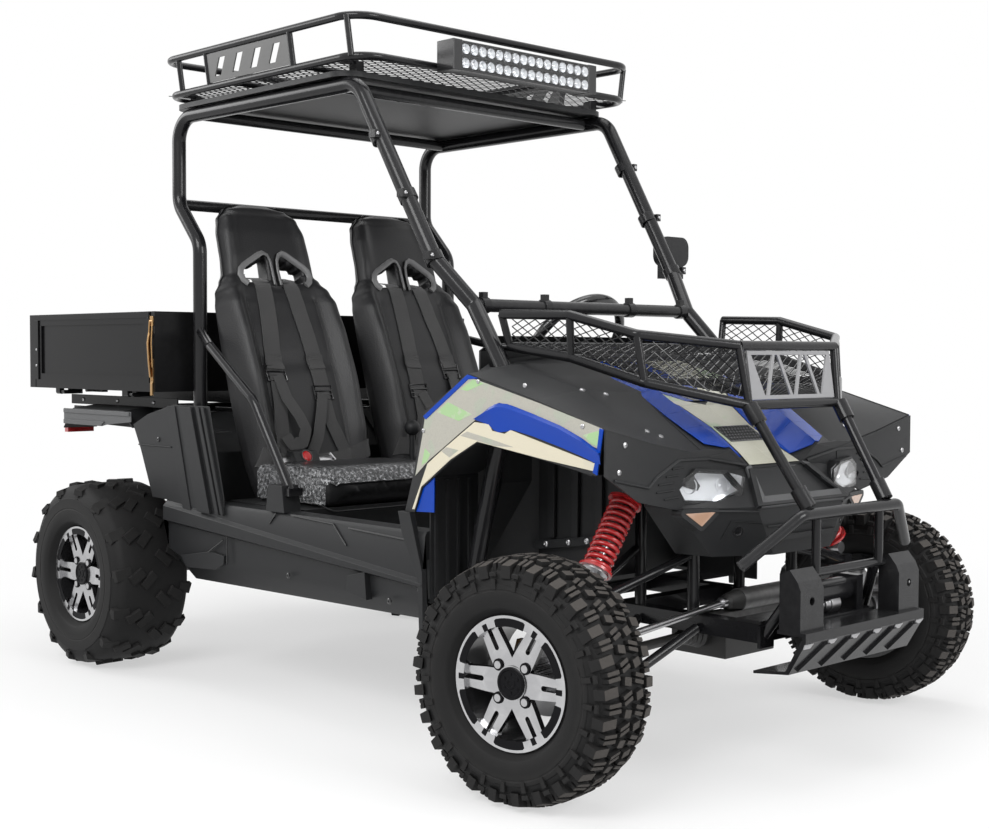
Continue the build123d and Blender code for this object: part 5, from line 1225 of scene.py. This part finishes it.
# Rings of the cushion from its foot up: (drawn in, height or None on the crown, corner radius).
CUSHION_RINGS = ((0.012, 0.0, 0.030), (0.004, 0.010, 0.034), (0.0, 0.040, 0.036), (0.0, 0.070, 0.036),
                 (0.003, 0.086, 0.036), (0.010, 0.094, 0.034), (0.024, None, 0.030), (0.055, None, 0.024),
                 (0.095, None, 0.020), (0.135, None, 0.012))
SWELL_CAP, SWELL_FRAMES, SWELL_VOXEL, SWELL_PRESSURE = 0.005, 15, 0.0055, 4
FILM_ROWS, FILM_ACROSS = 30, 26


def rounded_ring(inset, corner):
    """(x, y) points of the cushion's outline, drawn in, with round corners; y is on the left-hand side."""
    x0, x1 = CUSHION_X[0] + inset * 0.5, CUSHION_X[1] - inset
    y0, y1 = CUSHION_Y[0] + inset, CUSHION_Y[1] - inset
    points = []
    for cx, cy, start in ((x1 - corner, y1 - corner, 0), (x0 + corner, y1 - corner, 90),
                          (x0 + corner, y0 + corner, 180), (x1 - corner, y0 + corner, 270)):
        for n in range(CORNER_POINTS):
            turn = math.radians(start + 90 * n / (CORNER_POINTS - 1))
            points.append((cx + corner * math.cos(turn), cy + corner * math.sin(turn)))
    dense = []
    for n, here in enumerate(points):
        there = points[(n + 1) % len(points)]
        steps = max(1, round(math.dist(here, there) / EDGE_STEP))
        dense += [(here[0] + (there[0] - here[0]) * k / steps, here[1] + (there[1] - here[1]) * k / steps)
                  for k in range(steps)]
    return dense


def cushion_top(x, y):
    """Height of the cushion's crown, with a dip for the lap belt at the back and a fall at the front."""
    along = (x - CUSHION_X[0]) / (CUSHION_X[1] - CUSHION_X[0])
    across = (y - CUSHION_Y[0]) / (CUSHION_Y[1] - CUSHION_Y[0])
    crown = 0.006 * math.sin(math.pi * min(1, max(0, along))) * math.sin(math.pi * min(1, max(0, across)))
    dip = 0.010 * max(0.0, 1 - along / 0.24) ** 1.5
    fall = 0.020 * max(0.0, (along - 0.86) / 0.14) ** 2
    return CUSHION_Z[1] - 0.004 + crown - dip - fall


def swollen(piece, cap):
    """Let pressure fill a pad out, keep each point within the cap, and bake the result in."""
    remesh = piece.modifiers.new("voxels", "REMESH")
    remesh.mode = "VOXEL"
    remesh.voxel_size = SWELL_VOXEL
    view = bpy.context.view_layer
    for other in bpy.context.selected_objects:
        other.select_set(False)
    view.objects.active = piece
    piece.select_set(True)
    bpy.ops.object.modifier_apply(modifier="voxels")
    before = [v.co.copy() for v in piece.data.vertices]
    cloth = piece.modifiers.new("cloth", "CLOTH")
    cloth.settings.quality = 5
    cloth.settings.use_pressure = True
    cloth.settings.uniform_pressure_force = SWELL_PRESSURE
    cloth.settings.effector_weights.gravity = 0
    for number in range(1, SWELL_FRAMES + 1):
        scene.frame_set(number)
    bpy.ops.object.modifier_apply(modifier="cloth")
    scene.frame_set(1)
    for vertex, start in zip(piece.data.vertices, before):
        moved = vertex.co - start
        if moved.length > cap:
            vertex.co = start + moved * (cap / moved.length)
        vertex.co.z = max(vertex.co.z, CUSHION_Z[0])
        vertex.co.y = math.copysign(max(abs(vertex.co.y), CUSHION_Y[0] - 0.004), vertex.co.y)
    piece.data.polygons.foreach_set("use_smooth", [True] * len(piece.data.polygons))


for hand, side_name in HANDS:
    pad = bmesh.new()
    rings = []
    for inset, height, corner in CUSHION_RINGS:
        ring = []
        for x, y in rounded_ring(inset, corner):
            top = cushion_top(x, y)
            z = top if height is None else min(top - 0.003, CUSHION_Z[0] + height)
            ring.append((x, hand * y, z))
        rings.append(ring)
    count = min(len(r) for r in rings)
    skinned(pad, [[pad.verts.new(ring[round(n * len(ring) / count) % len(ring)]) for n in range(count)]
                  for ring in rings])
    cushion = added(f"cushion_{side_name}", pad, [VINYL], angle=80)
    swollen(cushion, SWELL_CAP)
    rounded(cushion)
    piping = bmesh.new()
    for inset, drop in ((0.0035, 0.014), (0.004, 0.088)):
        line = [(x, hand * y, min(cushion_top(x, y), CUSHION_Z[1]) - drop)
                for x, y in rounded_ring(inset - 0.004, 0.036)]
        swept(piping, line, 0.0028, 8, closed=True)
    added(f"cushion_piping_{side_name}", piping, [VINYL])
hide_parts("seat_cushions")


def crumpled(place, size, depth):
    """How far a point of crinkled film is pushed out, in facets of about a size."""
    cell = Vector((place.x / size, place.y / size, place.z / size))
    return depth * (noise.cell(cell) * 0.35 + noise.noise(cell * 1.7) * 0.8 + noise.noise(cell * 4.1) * 0.35)


for hand, side_name in HANDS:
    wrap = bmesh.new()
    x0, x1 = CUSHION_X[0] + 0.012, CUSHION_X[1] + 0.006
    y0, y1 = CUSHION_Y[0] + 0.004, CUSHION_Y[1] + 0.006
    # From the pad's inner edge over the top and down its outer side, in rows from its back to its front.
    across_line = [(y0 + (y1 - y0) * n / FILM_ACROSS, None) for n in range(FILM_ACROSS + 1)]
    across_line += [(y1 + 0.002, CUSHION_Z[1] - 0.012 - 0.0135 * n) for n in range(1, 7)]
    grid = []
    for n in range(FILM_ROWS + 1):
        x = x0 + (x1 - x0) * n / FILM_ROWS
        line = []
        for y, z in across_line:
            over_front = max(0.0, (n - 27) / 3)
            if z is None:
                z = cushion_top(min(x, CUSHION_X[1]), y) + 0.0045 - 0.018 * over_front ** 1.5
            spot = Vector((x, hand * y, z))
            slack = max(0.0, (y - (y1 - 0.10)) / 0.10) + max(0.0, (n - 22) / 8) * 0.6
            spot += Vector((0.3, hand * 0.5, 1)).normalized() * crumpled(spot, 0.016, 0.0012 + 0.0065 * min(1.2, slack))
            line.append(wrap.verts.new(spot))
        grid.append(line)
    for here, there in zip(grid, grid[1:]):
        for k in range(len(here) - 1):
            wrap.faces.new((here[k], here[k + 1], there[k + 1], there[k]))
    area = sum(face.calc_area() for face in wrap.faces)
    film = added(f"cushion_film_{side_name}", wrap, [WRAP_FILM], angle=16)

# ------------------------------------------------------------ body sides
SILL_Z = 0.514
SKIRT_STATIONS = (-1.545, -1.452, -1.30, -1.15, -1.00, -0.85, -0.70, -0.60, -0.50, -0.432)
REAR_FOOT_Z = 0.366     # the skirt's foot behind station -1.5
# Raised plates of the skirt: outline, the half width they start at and their depth.
SKIRT_PLATES = (
    ([(-0.708, 0.381), (-0.641, 0.397), (-0.634, 0.329), (-0.715, 0.342)], 0.572, 0.0205),
    ([(-0.516, 0.5548), (-0.474, 0.5548), (-0.430, 0.420), (-0.426, 0.272), (-0.440, 0.272), (-0.446, 0.400),
      (-0.502, 0.505)], 0.578, 0.0155),
    ([(-1.470, 0.353), (-1.324, 0.378), (-1.254, 0.372), (-1.256, 0.350), (-1.30, 0.330), (-1.44, 0.322)],
     0.570, 0.014),
    # The pad that the cage's foot stands on.
    ([(-1.050, SILL_Z - 0.002), (-0.970, SILL_Z - 0.002), (-0.980, 0.5820), (-1.040, 0.5820)], 0.536, 0.054))
GROOVES = (((-0.946, 0.509), (-0.772, 0.5015), (-0.719, 0.453)), ((-0.711, 0.4965), (-0.477, 0.4875)),
           ((-1.012, 0.509), (-1.042, 0.479)), ((-1.235, 0.4365), (-1.236, 0.352)), ((-1.254, 0.416), (-1.324, 0.378)))
SIDE_BOLTS = ((-0.959, 0.352), (-0.556, 0.336), (-1.236, 0.446), (-1.582, 0.674), (-0.450, 0.452), (-0.447, 0.376))
QUARTER_OUTLINE = [(-1.722, 0.712), (-1.680, 0.640), (-1.617, 0.506), (-1.545, 0.505), (-1.252, 0.480),
                   (-1.252, 0.530), (-1.322, 0.776), (-1.505, 0.776), (-1.640, 0.745)]
# Leaning flutes of the rear quarter panel: station of the top and of the foot, width and height.
FLUTES = ((-1.512, -1.432, 0.040, 0.005), (-1.432, -1.338, 0.062, 0.012), (-1.368, -1.272, 0.016, 0.012),
          (-1.346, -1.252, 0.014, 0.010))


def skirt_profile(station):
    """(half width, height) round the skirt's section, from the sill's inner edge down to the foot."""
    ridge = 0.399 - (station + 0.483) * 0.0874
    under = min(ridge - 0.014, 0.394 - (station + 0.652) * 0.057)
    foot = 0.285 + (station + 1.451) * 0.0147
    return [(0.536, SILL_Z), (0.566, SILL_Z), (0.577, SILL_Z - 0.003), (0.582, SILL_Z - 0.012), (0.585, ridge + 0.006),
            (0.5945, ridge - 0.003), (0.5945, under + 0.004), (0.577, under - 0.004), (0.5755, 0.356),
            (0.572, 0.336), (0.545, foot)]


for hand, side_name in HANDS:
    skirt = bmesh.new()
    rings = []
    for station in SKIRT_STATIONS:
        outer = skirt_profile(station)
        if station < -1.50:
            outer = [(y, max(z, REAR_FOOT_Z)) for y, z in outer]
        inner = [(y - 0.003, z - (0.003 if y < 0.578 and z > 0.5 else 0)) for y, z in outer[::-1]]
        rings.append([skirt.verts.new((at(station), hand * y, z)) for y, z in outer + inner])
    skinned(skirt, rings)
    for outline, y, depth in SKIRT_PLATES:
        plank(skirt, outline, hand, y, depth)
    piece = added(f"side_skirt_{side_name}", skirt, [BLACK_PLASTIC], bevel=0.0035, angle=30,
                  segments=3)
    if hand < 0:
        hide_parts("side_skirts")
    lines = bmesh.new()
    for groove in GROOVES:
        swept(lines, [(at(x), hand * (0.5848 + 0.0012 * (z < 0.47)), z) for x, z in groove], 0.0022, 6)
    for station, z in SIDE_BOLTS:
        bolt(lines, (at(station), hand * 0.5845, z), (0, hand, 0), 0.0075)
    added(f"side_skirt_lines_{side_name}", lines, [GLOSS_BLACK])

    quarter = bmesh.new()
    plank(quarter, QUARTER_OUTLINE, hand, 0.5815, 0.003)
    for top, foot, wide, rise in FLUTES:
        plank(quarter, [(foot - wide / 2, 0.486), (foot + wide / 2, 0.483), (top + wide / 2, 0.772),
                        (top - wide / 2, 0.772)], hand, 0.583, rise)
    plank(quarter, [(-1.690, 0.657), (-1.512, 0.657), (-1.512, 0.6535), (-1.690, 0.6535)], hand, 0.583, 0.0045)
    side_brick(quarter, hand, (at(-1.700), 0.500, 0.700), (at(-1.340), 0.583, 0.705))
    piece = added(f"rear_quarter_{side_name}", quarter, [BLACK_PLASTIC], bevel=0.003, angle=30,
                  segments=3)
    if hand < 0:
        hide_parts("rear_side_panels")

# Dark cover behind the seats, over the engine: a wall, a sloping lid and the lid's ribs.
COVER_HALF, COVER_RIBS, RIB_PITCH, RIB_HALF = 0.530, 7, 0.12, 0.012


def sloping(mesh, y0, y1, low, high, shift):
    """A plate across the vehicle between two (station, height) edges."""
    (x0, z0), (x1, z1) = low, high
    prism(mesh, [(at(x0), y0, z0), (at(x0), y1, z0), (at(x1), y1, z1), (at(x1), y0, z1)], shift)


cover = bmesh.new()
for low, high in (((-1.418, 0.345), (-1.418, 0.640)), ((-1.418, 0.640), (-1.540, 0.748))):
    sloping(cover, -COVER_HALF, COVER_HALF, low, high, (0.003, 0, 0.001))
for n in range(COVER_RIBS):
    y = -0.36 + RIB_PITCH * n
    sloping(cover, y - RIB_HALF, y + RIB_HALF, (-1.424, 0.648), (-1.528, 0.740), (0.006, 0, 0.006))
added("engine_cover", cover, [BLACK_PLASTIC], bevel=0.002)

# ------------------------------------------------------------ front wheel arch liners
LINER_ARCH = [(-0.430, 0.636), (-0.345, 0.712), (-0.262, 0.738), (-0.180, 0.728), (-0.060, 0.702), (0.085, 0.672)]
LINER_WALL = 0.3035     # half width of the wall that carries the ribs
for hand, side_name in HANDS:
    liner = bmesh.new()
    prism(liner, sided([(-0.427, 0.420, 0.345), (-0.342, 0.300, 0.345), (-0.342, 0.300, 0.735), (-0.427, 0.420, 0.735)],
                       hand), (0.003, 0, 0))
    for (x0, z0), (x1, z1) in zip(LINER_ARCH, LINER_ARCH[1:]):
        prism(liner, sided([(x0, 0.296, z0), (x1, 0.296, z1), (x1, 0.5805, z1), (x0, 0.5805, z0)], hand), (0, 0, 0.003))
    for x in (-0.300, -0.225, -0.150):
        plank(liner, oblong(x, x + 0.020, 0.490, 0.726), hand, LINER_WALL, 0.008)
    plank(liner, [(-0.338, 0.458), (-0.150, 0.486), (-0.150, 0.506), (-0.338, 0.478)], hand, LINER_WALL, 0.014)
    for x, z in ((-0.300, 0.4745), (-0.228, 0.485), (-0.170, 0.4935)):
        bolt(liner, (at(x), hand * 0.3172, z), (0, hand, 0), 0.008, index=1)
    added(f"arch_liner_{side_name}", liner, [BLACK_PLASTIC, STEEL], bevel=0.0015)

# ------------------------------------------------------------ nose: bridge, frame, lines and bolts
# Plate that closes the space under the hood's fold: (half width, height).
BRIDGE = [(0.094, 0.664), (0.104, 0.6725), (0.167, 0.711), (0.252, 0.716), (0.330, 0.712), (0.330, 0.640),
          (0.190, 0.600), (0.110, 0.620)]
FRAME_BAR = [(0.1250, 0.098, 0.6715), (0.1965, 0.1450, 0.6090), (0.2010, 0.1620, 0.5850), (0.1280, 0.122, 0.6680)]
FRAME_SHIFT = (0.004, 0, 0.004)
NOSE_LINES = (
    ([(0.1265, 0.5600, 0.6655), (0.1265, 0.4511, 0.6440), (0.1268, 0.4258, 0.6633), (0.1268, 0.3513, 0.6971),
      (0.1275, 0.2500, 0.6960), (0.1290, 0.1200, 0.6760)], 0.0042),
    ([(0.1080, 0.3480, 0.5900), (0.1580, 0.2650, 0.5845), (0.1990, 0.1620, 0.5800)], 0.0030),
    ([(0.1490, 0.2320, 0.5202), (0.1668, 0.2207, 0.5598), (0.1990, 0.1502, 0.5528)], 0.0024))
# Short louvres outside each headlight, from the top down: inner and outer half width.
LOUVRES, LOUVRE_PITCH = ((0.336, 0.374), (0.352, 0.394), (0.366, 0.419), (0.368, 0.425), (0.352, 0.400)), 0.0158
nose_trim = bmesh.new()
for hand in (-1, 1):
    prism(nose_trim, sided([(0.117, y, z) for y, z in BRIDGE], hand), (0.007, 0, 0))
    prism(nose_trim, sided(FRAME_BAR, hand), FRAME_SHIFT, 1)
    for line, radius in NOSE_LINES:
        swept(nose_trim, sided(line, hand), radius, 8, flat=0.6)
    for n, (y_in, y_out) in enumerate(LOUVRES):
        z = 0.681 - LOUVRE_PITCH * n
        swept(nose_trim, sided([(0.1262, y_in, z), (0.1262, y_out, z - 0.002)], hand), 0.0021, 6)
    turned(nose_trim, (at(0.1690), hand * 0.2003, 0.5369), (0.86, hand * 0.43, -0.26),
           [(0.0, 0.0), (0.0, 0.0125), (0.0022, 0.0125), (0.0022, 0.0095), (0.0006, 0.0088), (0.0006, 0)], 20, 2)
outer, lower = FRAME_BAR[1:3]
prism(nose_trim, sided([outer, lower], -1) + sided([lower, outer]), FRAME_SHIFT, 1)
for x, z in ((0.2055, 0.545), (0.2035, 0.515)):
    swept(nose_trim, [(at(x), -0.140, z), (at(x), 0.140, z)], 0.0024, 6)
added("nose_trim", nose_trim, [BLACK_PLASTIC, GREY_PLASTIC, GLOSS_BLACK], bevel=0.0012)

COVER_BOLTS = (((-0.0791, 0.4333, 0.8441), (0.47, 0.1, 0.88)), ((-0.0662, 0.3712, 0.8339), (0.51, -0.05, 0.86)),
               ((0.0672, 0.3872, 0.7576), (0.50, -0.12, 0.85)), ((0.0792, 0.3554, 0.7459), (0.52, -0.13, 0.85)),
               ((0.1253, 0.5267, 0.7364), (1, 0, 0)), ((0.1253, 0.5449, 0.6806), (1, 0, 0)))
FENDER_BOLTS = ((-0.105, 0.856), (0.063, 0.775), (-0.250, 0.862), (-0.432, 0.746))
screws = bmesh.new()
for (x, y, z), (nx, ny, nz) in COVER_BOLTS:
    for hand in (-1, 1):
        bolt(screws, (at(x), hand * y, z), (nx, hand * ny, nz), 0.0065, 0.0035)
for x, z in FENDER_BOLTS:
    for hand in (-1, 1):
        bolt(screws, (at(x), hand * 0.5868, z), (0, hand, 0), 0.0052, 0.003)
added("cover_bolts", screws, [STEEL])

# ------------------------------------------------------------ cage clamps
PILLAR = ((-0.743, 0.460, 1.459), (-0.646, 0.452, 1.307), (-0.551, 0.450, 1.152))      # clamps down the front pillar
clamps = bmesh.new()
for hand in (-1, 1):
    places = [Vector(place) for place in sided(PILLAR, hand)]
    for place in places:
        sleeve(clamps, place, places[-1] - places[0], 0.013, 0.0203, 0.0238, 28)
        ear = place + Vector((0.010, hand * 0.026, 0.006))
        brick(clamps, ear - Vector((0.012, 0.008, 0.010)), ear + Vector((0.012, 0.008, 0.010)))
        bolt(clamps, ear + Vector((0.012, 0, 0)), (1, 0, 0), 0.0055, index=1)
    for y in (0.372, 0.160):
        place = Vector((at(-0.460), hand * y, 1.039))
        sleeve(clamps, place, (0, 1, 0), 0.012, 0.0163, 0.0198, 24)
        brick(clamps, place + Vector((-0.008, -0.008, 0.016)), place + Vector((0.008, 0.008, 0.032)))
added("cage_clamps", clamps, [TUBE_PAINT, STEEL], bevel=0.001)

# ------------------------------------------------------------ bed: latches, rims, rails and the rear guards
LATCH_Y, LATCH_X = 0.6005, (-1.5945, -1.587, -1.5795)
LATCH_PLATES = ((oblong(-1.594, -1.580, 0.836, 0.905), 0.003), (oblong(-1.595, -1.579, 0.998, 1.026), 0.003),
                (oblong(-1.592, -1.582, 0.800, 0.836), 0.005))
# Bars of a latch: (station, how far out, height) points, radius, sides and flatness.
LATCH_BARS = ([([(LATCH_X[1], 0.006, 0.852), (LATCH_X[1], 0.011, 0.900), (LATCH_X[1], 0.014, 0.950),
                 (LATCH_X[1], 0.009, 0.978)], 0.0075, 10, 0.55)]
              + [([(x, 0.005, 0.880), (x, 0.008, 0.950), (x, 0.004, 1.012)], 0.0024, 8, 1.0) for x in LATCH_X[::2]]
              + [([(x, 0.004, 1.012) for x in LATCH_X[::2]], 0.0024, 8, 1.0)])
RIM_Y = 0.6003
RIM_BARS = (oblong(-2.288, -1.600, 1.022, 1.039), oblong(-2.288, -2.268, 0.836, 1.022),
            oblong(-1.612, -1.600, 0.836, 1.022))
FRAME_SKIRT = [(-2.250, 0.700), (-1.720, 0.690), (-1.600, 0.690), (-1.560, 0.740), (-1.560, 0.7515), (-2.250, 0.7515)]
GUARD_PLATES = (([(-2.134, 0.700), (-1.900, 0.700), (-1.868, 0.706), (-1.730, 0.718), (-1.730, 0.748),
                  (-2.134, 0.748)], 0.003),
                (oblong(-2.130, -1.735, 0.735, 0.747), 0.007),
                ([(-2.130, 0.701), (-1.900, 0.701), (-1.880, 0.714), (-2.130, 0.714)], 0.007))
latches, under, under_bed, guards = (bmesh.new() for _ in range(4))
for hand in (-1, 1):
    for outline, depth in LATCH_PLATES:
        plank(latches, outline, hand, LATCH_Y, depth)
    for points, radius, sides, flat in LATCH_BARS:
        swept(latches, [(at(x), hand * (LATCH_Y + out), z) for x, out, z in points], radius, sides, flat=flat)
    for z in (0.846, 0.892):
        bolt(latches, (at(LATCH_X[1]), hand * (LATCH_Y + 0.003), z), (0, hand, 0), 0.004, 0.003)
    plank(under, FRAME_SKIRT, hand, 0.4865, 0.003)
    plank(under_bed, oblong(-2.240, -1.610, 0.758, 0.7885), hand, 0.500, 0.004)
    for x in (-2.16, -1.95, -1.74):
        bolt(under_bed, (at(x), hand * 0.504, 0.773), (0, hand, 0), 0.006, index=1)
    for outline, depth in GUARD_PLATES:
        plank(guards, outline, hand, 0.5845, depth)
added("bed_latches", latches, [GOLD_ZINC], "bed", bevel=0.0006)
added("bed_frame_skirt", under, [BLACK_PLASTIC], bevel=0.001)
for hand, side_name in HANDS:
    rim = bmesh.new()
    for outline in RIM_BARS:
        plank(rim, outline, hand, RIM_Y, 0.004)
    for z in (0.88, 0.93):
        bolt(rim, (at(-2.278), hand * (RIM_Y + 0.004), z), (0, hand, 0), 0.004, 0.002, 1)
    added(f"bed_side_rim_{side_name}", rim, [BED_BLACK, STEEL], f"bed_side_{side_name}", bevel=0.001)
added("bed_underside_rails", under_bed, [BED_BLACK, STEEL], "bed", bevel=0.001)
added("rear_guard_sides", guards, [GREY_PLASTIC], bevel=0.001)

# ------------------------------------------------------------ skid plate's inlays and the winch shaft
INLAYS, INLAY_PITCH = 6, 0.0880
inlays = bmesh.new()
for n in range(INLAYS):
    y = -0.222 + INLAY_PITCH * n
    prism(inlays, [(at(x), y + shift, z) for x, shift, z in ((0.3706, -0.016, 0.3197), (0.3706, 0.016, 0.3197),
                                                            (0.3646, 0.012, 0.3094), (0.3646, -0.012, 0.3094))],
          (0.0016, 0, -0.0009))
for hand in (-1, 1):
    bolt(inlays, (at(0.352), hand * 0.205, 0.405), (1, 0, 0), 0.0062, index=1)
    turned(inlays, (at(0.3475), hand * 0.205, 0.405), (1, 0, 0),
           [(0, 0), (0, 0.0088), (0.003, 0.0088), (0.003, 0)], 20, 1)
added("skid_inlays", inlays, [RACK_GREY, STEEL])
shaft = bmesh.new()
turned(shaft, (at(0.262), -0.060, 0.366), (0, 1, 0), [(0, 0), (0, 0.012), (0.040, 0.012), (0.042, 0.017),
                                                      (0.058, 0.017), (0.060, 0.021), (0.094, 0.021), (0.094, 0)], 24)
brick(shaft, (at(0.262), 0.104, 0.352), (at(0.268), 0.112, 0.382))
added("winch_shaft", shaft, [STEEL], bevel=0.0008)

low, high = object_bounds()
{"cad": [list(cad_low), list(cad_high)], "visual": [list(low), list(high)]}
